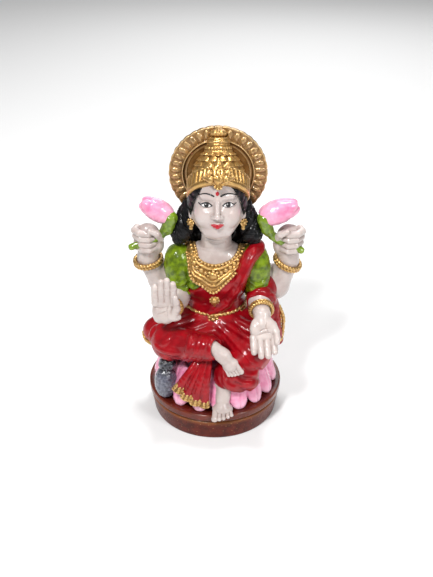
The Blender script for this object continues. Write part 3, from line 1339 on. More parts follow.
def necklace():
    """The broad pointed collar: beaded edges, plain cords and rows of drops, with a boss and pendant."""
    over = bust(Sculpt(), 1.2)
    count = 61
    inner, outer = [
        curve([NECK_ROOT + vec(x, COLLAR_Y, z) for x, z in edge], count) for edge in (NECKLINE, COLLAR)
    ]
    kinds = {0.0: "bead", 0.16: "cord", 0.36: "leaf", 0.56: "cord", 0.72: "cord", 0.96: "bead"}
    sheet = [settle(over, inner + (outer - inner) * share, 0.1) for share in kinds]
    s = Sculpt()
    for near, far in zip(sheet, sheet[1:]):
        for a, b in zip(near, far):
            s.add(rod(a, b, 0.42), 0.4)
    for laid, kind in zip(sheet, kinds.values()):
        s.string(laid + vec(0, -0.25, 0.1), {"bead": 0.40, "cord": 0.60, "leaf": 0.4}[kind], 0.1)
        if kind == "cord":
            continue
        lengths = np.r_[0, np.cumsum(np.linalg.norm(np.diff(laid, axis=0), axis=1))]
        pitch = 1.45 if kind == "bead" else 2.2
        for t in np.arange(0.4, lengths[-1], pitch):
            p = vec(*[np.interp(t, lengths, laid[:, i]) for i in range(3)])
            s.add(ball(p + vec(0, -0.5, 0.15), 0.62 if kind == "bead" else (0.95, 0.7, 1.0)), 0.06)
    boss = sheet[2][count // 2]
    s.add(ball(boss + vec(0, -0.8, 0.2), (1.9, 1.3, 1.9)), 0.15)
    for k in range(8):
        a = 2 * pi * k / 8
        s.add(ball(boss + vec(2.1 * cos(a), -0.7, 2.1 * sin(a) + 0.2), 0.7), 0.12)
    s.swell(soft(1.2, 0.06, 49))
    piece("necklace", s, 0.16, GOLD, "gold_paint")
    hang = settle(over, [spot("pendant") + vec(0, -2, 0)], 0.0)[0]
    s = Sculpt().add(ball(hang + vec(0, -0.3, 0.4), (2.0, 0.9, 2.0)))
    s.add(rod(hang + vec(0, -0.3, 0), hang + vec(0, -0.2, -2.6), 1.5, 0.35), 0.4)
    s.add(ball(hang + vec(0, -1.1, 0.4), (1.0, 0.6, 1.0)), 0.15)
    for k in range(9):
        a = 2 * pi * k / 9
        s.add(ball(hang + vec(1.8 * cos(a), -0.6, 0.4 + 1.8 * sin(a)), 0.42), 0.1)
    piece("pendant", s, 0.13, GOLD, "gold_paint")


# ---------------------------------------------------------------- front arms and hands
def limb(name, start, end, r_start, r_end, bulge=0.0):
    """A plain arm, a little fuller near its start."""
    s = Sculpt().add(rod(start, end, r_start, r_end))
    s.add(ball(shares(start, end, 0.35), r_start + bulge), 2.0)
    s.swell(soft(4.0, 0.05, 51))
    piece(name, s, 0.25, SKIN, "skin_ivory")


def finger(s, points, radii, blend=0.22):
    """A finger through its knuckles."""
    s.string(points, radii, blend)
    s.add(ball(points[-1], radii[-1] * 1.02), 0.2)


def blessing_hand():
    """The raised right hand, palm forward, fingers together."""
    c = R_PALM
    s = Sculpt().add(rod(R_WRIST, c + vec(0.4, 0.6, -3.4), 3.5, 3.0))
    s.add(ball(c + vec(-0.1, 0.3, 0.0), (5.0, 2.3, 6.4)), 1.5)
    s.add(ball(c + vec(-2.6, -0.5, -1.6), (2.5, 2.0, 4.4)), 1.0)
    s.add(ball(c + vec(2.7, -0.9, -2.4), (2.2, 2.0, 3.9), turn_to((0.25, 0, 1), (1, 0, 0))), 1.0)
    s.add(ball(c + vec(-0.4, -0.4, 3.9), (4.8, 1.8, 1.9)), 0.8)
    tips = (12.3, 14.6, 15.3, 13.6)
    for k, height in enumerate(tips):
        x = -3.75 + 2.42 * k
        lean = 0.02 * (k - 1.5)
        finger(
            s,
            [c + vec(x, -0.6, 3.6), c + vec(x + lean * 1.0, -0.9, 7.4), c + vec(x + lean * 1.6, -1.3, 10.6),
             c + vec(x + lean * 1.6 - 0.1 * (k - 1.5), -1.1, height - 1.1)],
            (1.62, 1.52, 1.44, 1.24),
        )
    finger(
        s,
        [c + vec(3.4, -0.8, -2.6), c + vec(4.8, -1.5, 1.4), c + vec(4.7, -2.0, 4.6), c + vec(4.2, -2.3, 7.0)],
        (2.0, 1.55, 1.3, 1.1), 0.5,
    )
    lines = [
        [c + vec(2.2, -4, 4.4), c + vec(1.0, -4, 1.2), c + vec(1.2, -4, -3.6)],
        [c + vec(-4.2, -4, 2.2), c + vec(-1.2, -4, 2.0), c + vec(2.4, -4, 3.2)],
        [c + vec(-3.2, -4, -0.6), c + vec(-0.8, -4, 0.0), c + vec(1.2, -4, 0.6)],
    ]
    folds(s, lines, 0.35, 0.16, 0.25, "cut", inward=(0, 1, 0))
    for k, height in enumerate(tips):
        x = -3.75 + 2.42 * k
        for share in (0.36, 0.66):
            z = 3.9 + (height - 3.9) * share
            line = [c + vec(x - 0.9, -4, z), c + vec(x, -4, z - 0.1), c + vec(x + 0.9, -4, z)]
            folds(s, [line], 0.3, 0.12, 0.2, "cut", inward=(0, 1, 0), count=5)
    s.swell(soft(2.5, 0.04, 52))
    piece("right_hand", s, 0.16, SKIN, "skin_ivory")


def giving_hand():
    """The lowered left hand, palm open, fingers pointing down."""
    c = L_PALM
    down = unit(vec(0.05, -0.62, -0.78))
    face = unit(vec(0, -0.80, 0.60))
    axes = np.array([np.cross(down, face), face, down])

    def at(across, out, along):
        return c + axes[0] * across + axes[1] * out + axes[2] * along

    s = Sculpt().add(rod(L_WRIST, at(0, -0.4, -2.4), 3.6, 3.1))
    s.add(ball(at(0, 0, 0), (5.2, 2.1, 5.2), axes), 1.5)
    s.add(ball(at(-3.0, 0.7, -0.6), (2.2, 1.7, 3.9), axes), 0.9)
    s.add(ball(at(3.1, 0.6, -0.4), (2.2, 1.7, 4.0), axes), 0.9)
    s.add(ball(at(0, 0.4, 3.4), (5.0, 1.6, 1.6), axes), 0.7)
    for k, reach in enumerate((7.2, 8.6, 8.5, 6.8)):
        x = -4.0 + 2.66 * k
        fan = 0.10 * (k - 1.5)
        finger(
            s,
            [at(x, 0.2, 3.0), at(x + fan * 0.6, 0.5, 3.0 + reach * 0.45),
             at(x + fan, 0.9, 2.6 + reach * 0.78), at(x + fan * 1.3, 1.4, 2.2 + reach)],
            (1.66, 1.56, 1.44, 1.22),
        )
    side = np.sign(axes[0][0])
    finger(
        s,
        [at(side * 4.0, 0.2, -1.8), at(side * 5.2, 1.0, 1.2), at(side * 5.5, 1.6, 3.8),
         at(side * 5.3, 2.0, 5.6)],
        (1.8, 1.45, 1.25, 1.05), 0.5,
    )
    lines = [
        [at(-3.6, 6, 1.8), at(-0.6, 6, 1.4), at(3.0, 6, 2.4)],
        [at(-2.8, 6, -0.4), at(0, 6, 0.0), at(1.6, 6, 1.0)],
        [at(side * 2.2, 6, 2.2), at(side * 1.2, 6, -0.6), at(side * 1.6, 6, -3.2)],
    ]
    folds(s, lines, 0.35, 0.16, 0.25, "cut", inward=-face)
    s.swell(soft(2.5, 0.04, 53))
    piece("left_hand", s, 0.16, SKIN, "skin_ivory")


def ring_piece(name, centre, normal, radius, wires, wire_r, squash=1.0):
    """A bangle of a few close wires with a milled edge."""
    axes = turn_to(normal)
    s = Sculpt()
    for k in range(wires):
        off = (k - (wires - 1) / 2) * wire_r * 1.5
        loop = [
            centre + axes[0] * off + axes[1] * radius * cos(a) * squash + axes[2] * radius * sin(a)
            for a in np.linspace(0, 2 * pi, 41)
        ]
        s.string(loop, wire_r, 0.12)

    def milled(x, y, z):
        w, u, v = local(centre, axes, x, y, z)
        return 0.10 * np.cos(26 * np.arctan2(v, u) + 2.4 * w) + 0.03 * wobble(x, y, z, 1.5, 54)

    s.swell(milled)
    piece(name, s, 0.17, GOLD, "gold_paint")


def bangles():
    """Four bangles, each around its arm."""
    ring_piece("right_bangle", shares(R_ELBOW, R_WRIST, 0.75), R_WRIST - R_ELBOW, 4.3, 2, 0.68)
    ring_piece("left_bangle", shares(L_ELBOW, L_WRIST, 0.78), L_WRIST - L_ELBOW, 4.55, 2, 0.72)
    ring_piece("rear_right_bangle", RR_WRIST + vec(0.1, 0.1, -0.8), (-0.14, -0.10, 0.98), 5.6, 2, 0.78)
    ring_piece("rear_left_bangle", RL_WRIST + vec(-0.3, 0.1, -0.8), (0.38, -0.10, 0.92), 5.6, 2, 0.78)


# ---------------------------------------------------------------- rear arms and lotus buds
def rear_arm(name, shoulder, elbow, wrist):
    """An upper arm behind the sleeve and a forearm that rises outwards."""
    s = Sculpt().add(rod(shoulder, elbow, 5.0, 5.5))
    s.add(rod(elbow, wrist, 5.5, 4.5), 2.0)
    s.swell(soft(4.5, 0.06, 61))
    piece(name, s, 0.28, SKIN, "skin_ivory")


def fist(name, wrist, c, side):
    """A closed hand around a stem: four curled fingers in front and the thumb over them."""
    s = Sculpt().add(rod(wrist, c + vec(0, 0.6, -2.8), 4.6, 4.4))
    s.add(ball(c + vec(side * 0.2, 1.4, 0.6), (5.3, 3.6, 6.0)), 2.0)
    for k in range(4):
        z = 4.9 - 2.5 * k
        pull = 0.35 * k
        finger(
            s,
            [c + vec(side * (4.5 - pull * 0.5), 1.2, z), c + vec(side * (5.2 - pull), -1.8, z + 0.2),
             c + vec(side * (3.2 - pull), -4.4, z + 0.2), c + vec(side * (-0.2 - pull * 0.3), -4.7, z - 0.1),
             c + vec(-side * 2.2, -3.2, z - 0.1)],
            (1.5, 1.55, 1.52, 1.38, 1.15), 0.15,
        )
    finger(
        s,
        [c + vec(-side * 4.2, 0.2, -1.0), c + vec(-side * 5.0, -2.4, 2.2), c + vec(-side * 3.8, -4.4, 4.9),
         c + vec(-side * 1.2, -5.0, 6.4)],
        (1.9, 1.7, 1.5, 1.25), 0.25,
    )
    s.add(ball(c + vec(-side * 3.2, 0.2, -2.4), (3.2, 3.2, 4.2)), 1.2)
    s.swell(soft(2.5, 0.04, 62))
    piece(name, s, 0.18, SKIN, "skin_ivory")


def stem(name, points, side):
    """The stem through the fist, with a leafy bulb under the bud."""
    tip, mid, top, bulb = points
    path = curve([tip, shares(tip, mid, 0.5), mid, top, bulb], 18)
    s = Sculpt().string(path, np.linspace(1.35, 1.9, 18), 0.3)
    low = bulb + vec(side * 1.0, -0.4, -2.6)
    s.add(rod(bulb + vec(-side * 0.3, 0, 2.0), low, 3.0, 2.5), 1.0)
    for k in range(3):
        a = -0.8 + 0.8 * k
        root = bulb + vec(side * 0.4, -1.6 * cos(a), 1.6 + 1.2 * sin(a))
        s.add(rod(root, low + vec(side * 0.8, -2.0 * cos(a), 0.6 * sin(a)), 1.3, 0.7), 0.4)
    s.cut(ball(tip + unit(tip - mid) * 1.6, 0.8), 0.2)
    s.swell(soft(1.8, 0.12, 63))
    piece(name, s, 0.18, LEAF, "stem_green")


def bud(name, base, tip, radius):
    """A closed bud of long overlapping petals."""
    along = unit(tip - base)
    axes = turn_to(along)
    long = np.linalg.norm(tip - base)
    s = Sculpt()
    for layer, (count, share) in enumerate(((3, 0.98), (5, 0.86))):
        for k in range(count):
            a = 2 * pi * (k + 0.5 * layer) / count + 0.4
            out = axes[1] * cos(a) + axes[2] * sin(a)
            middle = base + along * long * share * 0.52 + out * radius * (0.34 + 0.10 * layer)
            size = (long * share * 0.52, radius * 0.74, radius * 0.60)
            s.add(ball(middle, size, np.array([along, np.cross(out, along), out])), 0.12)

    def pale(x, y, z):
        t = ((x - base[0]) * along[0] + (y - base[1]) * along[1] + (z - base[2]) * along[2]) / long
        return 0.35 * smoothstep(0.75, 0.2, t)

    s.swell(soft(2.5, 0.06, 64))
    piece(name, s, 0.18, PINK, "petal_pink", paint={"pale": pale})


def rear_pair():
    """Both rear arms with their fists, stems and buds."""
    rear_arm("rear_right_arm", RR_SHOULDER, RR_ELBOW, RR_WRIST)
    rear_arm("rear_left_arm", RL_SHOULDER, RL_ELBOW, RL_WRIST)
    fist("rear_right_hand", RR_WRIST, RR_FIST, -1)
    fist("rear_left_hand", RL_WRIST, RL_FIST, 1)
    stem("right_stem", R_STEM, -1)
    stem("left_stem", L_STEM, 1)
    bud("right_bud", R_BUD[0], R_BUD[1], 4.5)
    bud("left_bud", L_BUD[0], L_BUD[1], 4.9)


# ---------------------------------------------------------------- head
def leaning(lean):
    """Axes that lean back by some degrees: to the side, to the back and up."""
    back = radians(lean)
    up = vec(0, sin(back), cos(back))
    return np.array([vec(1, 0, 0), np.cross(up, vec(1, 0, 0)), up])


def face_form():
    """The head's smooth form: a calm, rounded face of even proportions."""
    h = HEAD
    s = Sculpt().add(ball(h + vec(0, 1.4, 3.2), (9.9, 10.0, 10.6)))
    s.add(ball(h + vec(0, -1.9, -3.2), (8.9, 9.0, 9.6)), 3.0)
    s.add(ball(h + vec(0, -5.2, -10.6), (4.0, 4.2, 3.4)), 3.0)
    for side in (-1, 1):
        s.add(ball(h + vec(side * 4.5, -6.6, -4.6), (3.7, 3.6, 3.9)), 2.2)
        s.add(rod(h + vec(side * 7.4, -1.5, -5.4), h + vec(side * 3.4, -5.6, -10.8), 2.2, 1.9), 2.0)
    s.add(ball(h + vec(0, -5.6, 6.2), (6.8, 4.6, 5.0)), 3.0)
    for side in (-1, 1):
        s.add(rod(h + vec(side * 1.8, -9.6, 2.9), h + vec(side * 5.4, -8.4, 3.2), 0.8, 0.7), 1.6)
        s.cut(ball(h + vec(side * 4.0, -11.3, 0.2), (2.6, 1.7, 1.7)), 1.5)
        eye = h + vec(side * 3.95, -8.1, 0.15)
        s.add(ball(eye, (2.3, 1.75, 1.6)), 0.3)
    s.add(rod(h + vec(0, -9.9, 2.0), h + vec(0, -12.1, -3.2), 0.80, 1.00), 1.0)
    s.add(ball(h + vec(0, -12.3, -3.7), (1.25, 1.15, 1.05)), 0.6)
    for side in (-1, 1):
        s.add(ball(h + vec(side * 1.35, -11.2, -3.95), (0.95, 1.1, 0.85)), 0.5)
        s.cut(ball(h + vec(side * 0.72, -12.2, -4.95), (0.34, 0.5, 0.4)), 0.2)
    s.cut(rod(h + vec(0, -11.6, -5.2), h + vec(0, -11.2, -6.1), 0.26, 0.3), 0.35)
    return s


def lips(s):
    """Closed, gently smiling lips on the face."""
    h = HEAD + vec(0, -10.1, -6.9)
    for side in (-1, 1):
        s.add(rod(h + vec(side * 0.45, -1.05, 0.35), h + vec(side * 2.3, -0.1, 0.1), 0.58, 0.30), 0.35)
        s.add(rod(h + vec(0, -1.1, -0.75), h + vec(side * 1.9, -0.25, -0.3), 0.70, 0.36), 0.35)
        s.cut(ball(h + vec(side * 2.9, -0.5, 0.15), 0.34), 0.3)
    seam = [h + vec(x, -1.75 + 0.17 * x * x, -0.18 + 0.055 * x * x) for x in np.linspace(-2.6, 2.6, 13)]
    s.string(seam, tapered(0.17, 13, 0.5), 0.12, "cut")
    s.cut(rod(h + vec(-1.3, -0.9, -1.95), h + vec(1.3, -0.9, -1.95), 0.35, 0.35), 0.7)
    return s


def ears(s):
    """Ears with a rim and a long lobe."""
    for side in (-1, 1):
        e = HEAD + vec(side * 9.6, 0.4, -2.6)
        s.add(ball(e, (1.3, 2.1, 3.3), turn_to((1, 0.0, 0.0))), 0.6)
        s.add(ball(e + vec(0, -0.6, -3.4), (1.1, 1.3, 1.7)), 0.6)
        s.cut(ball(e + vec(side * 1.1, -0.6, 0.5), (0.8, 1.1, 1.8)), 0.4)
    return s


FACE_GROW = 1.07  # the whole head is built upright about its centre, then grown and leant back
HEAD_LEAN = 11.0


def leant():
    """How the finished head is grown and turned about its centre."""
    return HEAD, FACE_GROW, leaning(HEAD_LEAN)


def decal(base, inside, depth):
    """A thin painted patch that lies on the face inside a flat shape seen from the front."""
    s = Sculpt()
    s.steps = list(base.steps)
    s.swell(lambda x, y, z: depth + 0 * x)
    s.keep(Form(lambda x, y, z: inside(x, z) + 0 * y, vec(-FAR, -FAR, -FAR), vec(FAR, FAR, FAR)), 0.08)
    s.keep(plane(HEAD + vec(0, -5.5, 0), (0, 1, 0)))
    return s


def arch(centre, width, rise, tilt=0.0, count=15):
    """(x, z) points along a shallow arch."""
    t = np.linspace(-1, 1, count)
    return np.stack([centre[0] + width * t, centre[1] + rise * (1 - t * t) + tilt * t], 1)


def painted_line(s, base, points, radii):
    """Lays a fine raised line over the face through (x, z) points."""
    front = [(x, HEAD[1] - 12, z) for x, z in points]
    radii = np.broadcast_to(radii, len(points))
    laid = settle(base, front, 0.0, (0, 1, 0), 8.0)
    s.string(laid + np.outer(radii * 0.55, (0, 1, 0)), radii, 0.05)


EYE = (3.95, 0.1)  # an eye's place beside and above the middle of the head
EYE_HALF = 2.1


def eye_edges(side):
    """The upper and lower lid lines of one eye as (x, z) points from left to right."""
    centre = (HEAD[0] + side * EYE[0], HEAD[2] + EYE[1])
    upper = arch(centre, EYE_HALF, 0.86, side * 0.12)
    lower = arch(centre, EYE_HALF, -0.62, side * 0.12)
    return upper, lower


def painted_face(base):
    """Whites, irises, lash lines, brows, lips and the forehead mark, each thinly raised."""
    h = HEAD
    whites, irises, glints = [], [], []
    lines = Sculpt()
    for side in (-1, 1):
        upper, lower = eye_edges(side)
        almond = outline(np.vstack([upper, lower[::-1][1:-1]]))
        whites.append(almond)
        iris = (h[0] + side * EYE[0], h[2] + EYE[1] + 0.20)
        irises.append(
            lambda x, z, c=iris, a=almond: np.maximum(
                np.sqrt((x - c[0]) ** 2 + (z - c[1]) ** 2) - 0.88, a(x, z)
            )
        )
        glints.append(lambda x, z, c=iris: np.sqrt((x - c[0] + 0.26) ** 2 + (z - c[1] - 0.28) ** 2) - 0.17)
        swing = upper if side > 0 else upper[::-1]
        wing = swing[-1] + vec(side * 0.75, 0.28)
        thick = np.r_[np.linspace(0.28, 0.42, 8), np.linspace(0.40, 0.20, 8)]
        painted_line(lines, base, np.vstack([swing, wing]), thick)
        painted_line(lines, base, lower, 0.19)
        brow = arch((h[0] + side * 4.35, h[2] + 3.4), 3.0, 1.0, -side * 0.25)
        brow = brow if side > 0 else brow[::-1]
        painted_line(lines, base, brow, np.linspace(0.38, 0.20, len(brow)))

    def union(shapes):
        return lambda x, z: np.min([f(x, z) for f in shapes], 0)

    def mouth(x, z):
        u = (x - h[0]) / 2.5
        v = z - (h[2] - 7.05)
        top = 0.80 * (1 - u * u) - 0.26 * np.exp(-((u / 0.20) ** 2)) + 0.20 * u * u
        bottom = -1.15 * (1 - np.abs(u) ** 2.2) + 0.16 * u * u
        return np.maximum(np.maximum(v - top, bottom - v), (np.abs(u) - 1) * 2.7)

    def dot(x, z):
        return (np.sqrt(((x - h[0]) / 0.8) ** 2 + ((z - h[2] - 4.6) / 1.05) ** 2) - 0.8) * 0.8

    jobs = (
        ("eye_whites", union(whites), (-8, -3), (8, 6), 0.04, WHITE, 0.10),
        ("eye_irises", union(irises), (-8, -3), (8, 6), 0.09, INK, 0.09),
        ("eye_glints", union(glints), (-8, -3), (8, 6), 0.14, WHITE, 0.07),
        ("lips", mouth, (-3.6, -9.6), (3.6, -5.2), 0.05, LIP, 0.09),
        ("forehead_mark", dot, (-2, 2), (2, 7), 0.08, LIP, 0.10),
    )
    for name, inside, low, high, depth, material, grain in jobs:
        corner_low = vec(h[0] + low[0], h[1] - 14.5, h[2] + low[1])
        corner_high = vec(h[0] + high[0], h[1] - 5.0, h[2] + high[1])
        patch = decal(base, inside, depth)
        piece(name, patch, grain, material, None, [], None, corner_low, corner_high, leant())
    piece("lash_and_brow_lines", lines, 0.075, INK, None, [], grow=leant())


def head():
    """The head with its painted face, and the neck and bare chest."""
    s = ears(lips(face_form()))
    h = HEAD

    def blush(x, y, z):
        places = [h + vec(side * 5.4, -7.4, -3.6) for side in (-1, 1)]
        gap = [np.sqrt((x - p[0]) ** 2 + (y - p[1]) ** 2 + (z - p[2]) ** 2) for p in places]
        return 0.28 * smoothstep(3.8, 0.6, np.min(gap, 0))

    back = leaning(-HEAD_LEAN)[1]
    s.keep(plane(h + back * 8.8, back))
    piece("head", s, 0.16, FACE, "skin_ivory", paint={"blush": blush}, grow=leant())
    painted_face(s)
    n = bust(Sculpt(), 0.45)
    n.keep(neck_opening(), 0.3)
    n.keep(plane(WAIST + vec(0, 1, 0), (0, 1, 0)))
    n.add(rod(NECK_ROOT, HEAD + vec(-0.1, 1.1, -10.3), 6.5, 5.9), 1.2)
    n.add(ball(NECK_ROOT + vec(0, 0.4, 2.2), (8.6, 5.6, 3.4)), 2.0)
    for z in (9.6, 11.8):
        line = [NECK_ROOT + vec(x, y, z + 0.05 * abs(x)) for x, y in ((-5.0, -5), (0, -7), (5.0, -5))]
        folds(n, [line], 0.5, 0.2, 0.4, "cut", inward=(0, 1, 0))
    n.swell(soft(3.0, 0.03, 71))
    piece("neck", n, 0.24, SKIN, "skin_ivory")


# ---------------------------------------------------------------- hair
def ringlets(name, top, end, r_top, r_end, turns, seed):
    """A lock of hair: a few thick tresses wound about each other, with fine strands."""
    along = unit(end - top)
    axes = turn_to(along)
    s = Sculpt().add(rod(top, end, r_top * 0.62, r_end * 0.62))
    count = 5
    t = np.linspace(0, 1, 26)
    for k in range(count):
        a = 2 * pi * k / count + turns * 2 * pi * t + 0.4 * np.sin(5 * t + k + seed)
        r = (r_top + (r_end - r_top) * t) * 0.52
        core = top + np.outer(t, end - top) + np.outer(np.sin(3.0 * t * pi + seed) * 0.5, axes[1])
        path = core + (np.cos(a) * r)[:, None] * axes[1] + (np.sin(a) * r)[:, None] * axes[2]
        size = (0.50 * (r_top + (r_end - r_top) * t)) * (1 - 0.55 * smoothstep(0.86, 1.0, t))
        s.string(path, size, 0.12)

    def fine(x, y, z):
        w, u, v = local(top, axes, x, y, z)
        a = np.arctan2(v, u)
        strands = np.abs(np.sin(6 * a + 2.1 * w + 1.6 * wobble(x, y, z, 4, seed)))
        return 0.16 * strands + 0.04 * wobble(x, y, z, 1.4, seed)

    s.swell(fine)
    piece(name, s, 0.19, BLACK, "hair_black")


def hair():
    """Cap, both side locks and the mass that falls down the back."""
    h = HEAD
    cap = Sculpt().add(ball(h + vec(0, 1.2, 3.0), (11.7, 12.1, 12.4)))
    cap.add(ball(h + vec(0, 0.4, -2.6), (11.3, 11.0, 10.4)), 2.5)

    def opened(x, y, z):
        side, back, up = local(h, leaning(HEAD_LEAN), x, y, z)
        k = np.sqrt((side / 10.2) ** 2 + ((up + 6.4) / 15.6) ** 2)
        return np.maximum((k - 1) * 10.0, back + 0.4)

    window = Form(opened, h - 30, h + 30)

    def waves(x, y, z):
        a = np.arctan2(x - h[0], z - h[2] + 8)
        strands = np.abs(np.sin(13 * a + 0.7 * wobble(x, y, z, 5, 72, 3) + 0.25 * (y - h[1]))) ** 0.7
        return 0.34 * strands + 0.05 * wobble(x, y, z, 1.8, 73)

    cap.swell(waves)
    cap.cut(window, 0.5)
    cap.cut(plane(h + vec(0, 0, -9.2), (0, 0, 1)))
    cap.cut(plane(HALO_FRONT, (0, -1, 0)))
    piece("hair_cap", cap, 0.22, BLACK, "hair_black")
    for side, name in ((-1, "right_hair_lock"), (1, "left_hair_lock")):
        low = spot(name, 0.5, 0.5, 0)
        top = h + vec(side * 10.6, 3.9, -3.6)
        end = vec(h[0] + side * 14.9 - (0.7 if side < 0 else 0.0), 0.2, low[2] + 4.6)
        ringlets(name, top, end, 3.3, 4.6, 0.9 * side, 3 + side)
    middle = spot("hair_back")
    half = span("hair_back") / 2
    back = Sculpt().add(ball(middle, half * (0.96, 0.82, 0.97)))

    def falls(x, y, z):
        a = (x - middle[0]) / half[0]
        lines = 10 * a + 1.1 * np.sin(0.42 * z + 1.5 * a) + 0.5 * wobble(x, y, z, 7, 74, 3)
        fine = 26 * a + 1.1 * np.sin(0.42 * z + 1.5 * a) + 1.2 * wobble(x, y, z, 4, 75, 3)
        return 0.95 * np.abs(np.sin(lines)) ** 0.7 - 0.2 + 0.20 * np.abs(np.sin(fine))

    back.swell(falls)
    piece("hair_back", back, 0.28, BLACK, "hair_black")


def earrings():
    """Round gold studs with a beaded rim and a drop."""
    for side, name in ((-1, "right_earring"), (1, "left_earring")):
        c = spot(name)
        out = unit(vec(side * 0.55, -0.8, 0.1))
        axes = turn_to(out)
        s = Sculpt().add(ball(c + vec(0, 0, 0.6), (0.9, 1.5, 1.5), axes))
        s.add(ball(c + vec(0, 0, 0.6) + out * 0.5, 0.85), 0.2)
        for k in range(8):
            a = 2 * pi * k / 8
            off = (axes[1] * cos(a) + axes[2] * sin(a)) * 1.4
            s.add(ball(c + vec(0, 0, 0.6) + off + out * 0.3, 0.42), 0.1)
        s.add(rod(c + vec(0, 0, -1.0), c + vec(0, 0, -1.9), 0.6, 0.85), 0.3)
        piece(name, s, 0.13, GOLD, "gold_paint")


# ---------------------------------------------------------------- crown
TIER_RINGS = (  # height up the crown's axis, radius, half thickness
    (13.7, 5.3, 0.75), (15.0, 4.9, 0.8), (16.4, 4.3, 0.7), (17.5, 4.3, 0.75), (18.4, 3.8, 0.7),
)
FINIAL = (  # height up the crown's axis, radius
    (18.4, 2.6), (19.3, 2.5), (20.0, 3.1), (20.9, 3.4), (21.6, 2.9), (22.2, 1.8), (23.0, 0.4),
)


def crown_place(x, y, z, axes):
    """Angle about the crown's axis and height along it."""
    u, v, w = local(CROWN, axes, x, y, z)
    return np.arctan2(u, -v), w


def crown():
    """Fluted band, scalloped dome, ringed tier, finial and the jewelled crest."""
    tilt = leaning(BAND_LEAN)
    upright = leaning(CROWN_LEAN)
    band = Sculpt().add(ball(CROWN, (12.4, 12.6, 15.8), upright))

    def flutes(x, y, z):
        a = crown_place(x, y, z, upright)[0]
        h = local(RIM, tilt, x, y, z)[2]
        body = smoothstep(1.9, 2.5, h) * smoothstep(6.4, 5.8, h)
        lip = np.exp(-(((h - 0.75) / 0.6) ** 2))
        beads = np.exp(-(((h - 2.0) / 0.36) ** 2)) * np.abs(np.cos(40 * a))
        top = np.exp(-(((h - 6.5) / 0.45) ** 2)) * (0.6 + 0.4 * np.cos(30 * a))
        fluted = 0.50 * body * np.abs(np.cos(19 * a)) ** 0.8 - 0.36 * body
        return fluted + 0.5 * lip + 0.30 * beads + 0.34 * top

    band.swell(flutes)
    band.keep(plane(RIM, -tilt[2]), 0.25)
    band.keep(plane(RIM + tilt[2] * 7.0, tilt[2]), 0.25)
    band.keep(plane(RIM + vec(0, 0, -2.4), (0, 0, -1)), 0.3)
    band.keep(plane(HALO_FRONT, (0, 1, 0)))
    piece("crown_band", band, 0.2, GOLD, "gold_paint")

    dome = Sculpt().add(ball(CROWN, (10.9, 11.1, 15.4), upright))

    def scallops(x, y, z):
        a, w = crown_place(x, y, z, upright)
        row = (w - 6.2) / 2.1
        count = 12
        shift = np.where(np.floor(row) % 2 == 0, 0.0, 0.5)
        across = np.abs(((a * count / (2 * pi) + shift) % 1) - 0.5) * 2
        fall = row - np.floor(row)
        leaf = np.sqrt(np.clip(1 - across**2, 0, 1))
        return 0.85 * np.clip(leaf - 0.75 * fall, 0, 1) - 0.22 + 0.08 * wobble(x, y, z, 2.0, 81)

    dome.swell(scallops)
    dome.cut(plane(CROWN + upright[2] * 14.0, -upright[2]))
    dome.keep(plane(HALO_FRONT, (0, 1, 0)))
    dome.keep(plane(RIM + tilt[2] * 4.0, -tilt[2]))
    piece("crown_dome", dome, 0.2, GOLD, "gold_paint")

    tier = Sculpt()
    for height, radius, thick in TIER_RINGS:
        middle = CROWN + upright[2] * height
        loop = [
            middle + (radius - thick * 0.6) * (upright[0] * cos(a) + upright[1] * sin(a))
            for a in np.linspace(0, 2 * pi, 33)
        ]
        tier.string(loop, thick, 0.15)
    tier.add(lathe(CROWN, [(13.2, 5.2), (16, 4.4), (18.8, 3.9)], upright), 0.3)

    def beads(x, y, z):
        a, w = crown_place(x, y, z, upright)
        return 0.16 * np.cos(24 * a) * np.exp(-(((w - 15.0) / 0.5) ** 2)) + 0.04 * wobble(x, y, z, 1.5, 82)

    tier.swell(beads)
    piece("crown_tier", tier, 0.16, GOLD, "gold_paint")

    finial = Sculpt().add(lathe(CROWN, FINIAL, upright))

    def gadroons(x, y, z):
        a = crown_place(x, y, z, upright)[0]
        return 0.16 * np.abs(np.cos(6 * a)) - 0.06

    finial.swell(gadroons)
    piece("crown_finial", finial, 0.15, GOLD, "gold_paint")
    crest()


def crest():
    """The leaf-shaped jewel at the front of the crown and the drop under it."""
    top = spot("crown_crest", 0.5, 1, 1)
    low = spot("crown_crest", 0.5, 0, 0)
    c = low + (top - low) * (1, 0.52, 0.60)
    up = unit(vec(0, 0.62, 0.78))
    out = vec(0, -up[2], up[1])
    axes = np.array([out, vec(1, 0, 0), up])
    s = Sculpt().add(ball(c, (1.7, 3.0, 4.4), axes))
    s.add(rod(c + up * 2.6, c + up * 5.0, 1.5, 0.5), 0.8)
    for side in (-1, 1):
        for height, reach, size in ((-2.6, 2.9, 1.15), (-0.3, 3.5, 1.3), (2.0, 2.7, 1.15)):
            s.add(ball(c + vec(side * reach, 0, 0) + up * height + out * 0.5, (0.85, size, size), axes), 0.15)
        wing = [c + vec(side * 3.0, 0, 0) - up * 3.4, c + vec(side * 5.6, 1.0, -0.6) - up * 1.8]
        s.add(rod(*wing, 1.0, 0.6), 0.3)
    s.cut(ball(c + out * 2.1 - up * 0.5, (0.9, 1.6, 2.3), axes), 0.3)
    s.add(ball(c + out * 1.1 - up * 0.5, (0.9, 1.0, 1.6), axes), 0.1)
    drop = low + vec(0, 1.6, 1.7)
    s.add(ball(drop, (1.3, 1.7, 1.7), axes), 0.3)
    s.add(rod(drop, c - up * 3.0, 1.2, 1.2), 0.6)
    for k in range(7):
        a = 2 * pi * k / 7
        s.add(ball(drop + out * 0.7 + (axes[1] * cos(a) + up * sin(a)) * 1.5, 0.52), 0.1)
    s.swell(soft(1.2, 0.06, 83))
    piece("crown_crest", s, 0.14, GOLD, "gold_paint")


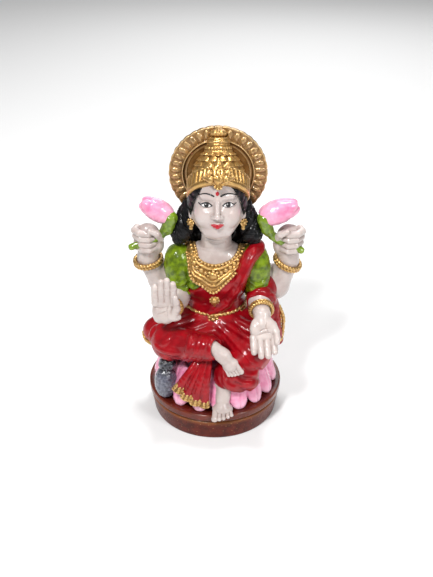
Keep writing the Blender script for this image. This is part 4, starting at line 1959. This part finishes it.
# ---------------------------------------------------------------- halo
def halo():
    """The disc with its raised ring and cracked field, and the rim of rounded teeth."""
    inner = spot("halo_disc", 0.5, 0, 0.5)
    front = inner[1]
    thick = span("halo_disc")[1]
    disc_r = span("halo_disc")[0] / 2
    rays_r = span("halo_rays")[0] / 2
    centre = vec(HALO[0], front + thick / 2 + 0.3, HALO[2])
    facing = np.array([vec(1, 0, 0), vec(0, 0, 1), vec(0, 1, 0)])
    disc = Sculpt().add(lathe(centre, [(-0.9, disc_r - 0.2), (0.95, disc_r - 0.2)], facing), 0.0)

    def relief(x, y, z):
        r = np.sqrt((x - centre[0]) ** 2 + (z - centre[2]) ** 2)
        a = np.arctan2(z - centre[2], x - centre[0])
        ring = np.exp(-(((r - 14.4) / 0.45) ** 2)) * 0.75
        second = np.exp(-(((r - 12.8) / 0.25) ** 2)) * 0.18
        rays = 0.22 * smoothstep(14.9, 15.4, r) * np.abs(np.cos(18 * a)) ** 0.8
        return ring + second + rays - 0.2 + 0.07 * wobble(x, y, z, 3.2, 91)

    disc.swell(relief)
    piece("halo_disc", disc, 0.2, BRONZE, "halo_bronze")
    teeth = Sculpt()
    count = 36
    root = rays_r - 3.4
    for k in range(count):
        a = 2 * pi * (k + 0.5) / count
        out = vec(cos(a), 0, sin(a))
        side = vec(-sin(a), 0, cos(a))
        axes = np.array([out, vec(0, 1, 0), side])
        wide = pi * rays_r / count * 0.92
        teeth.add(ball(centre + out * (root + 0.9), (2.6, 1.5, wide), axes))
    teeth.swell(soft(1.5, 0.07, 92))
    piece("halo_rays", teeth, 0.2, BRONZE, "halo_bronze")


# ---------------------------------------------------------------- everything in turn
def sleeves():
    """Both blouse sleeves."""
    sleeve("right_sleeve", R_SHOULDER, R_ELBOW, 55, -1)
    sleeve("left_sleeve", L_SHOULDER, L_ELBOW, 56, 1)


def forearms():
    """Both bare front forearms."""
    limb("right_forearm", R_ELBOW, R_WRIST, 4.6, 3.4, 0.2)
    limb("left_forearm", L_ELBOW, L_WRIST, 4.6, 3.5, 0.2)


JOBS = (
    stand, lotus, owl, lap, right_shin, left_shin, pleats, feet, blouse, sleeves, bodice, elbow_cloth,
    hip_cloth, belt, necklace, forearms, blessing_hand, giving_hand, bangles, rear_pair, head, hair,
    earrings, crown, halo,
)
for job in JOBS:
    job()
camera()
stage()
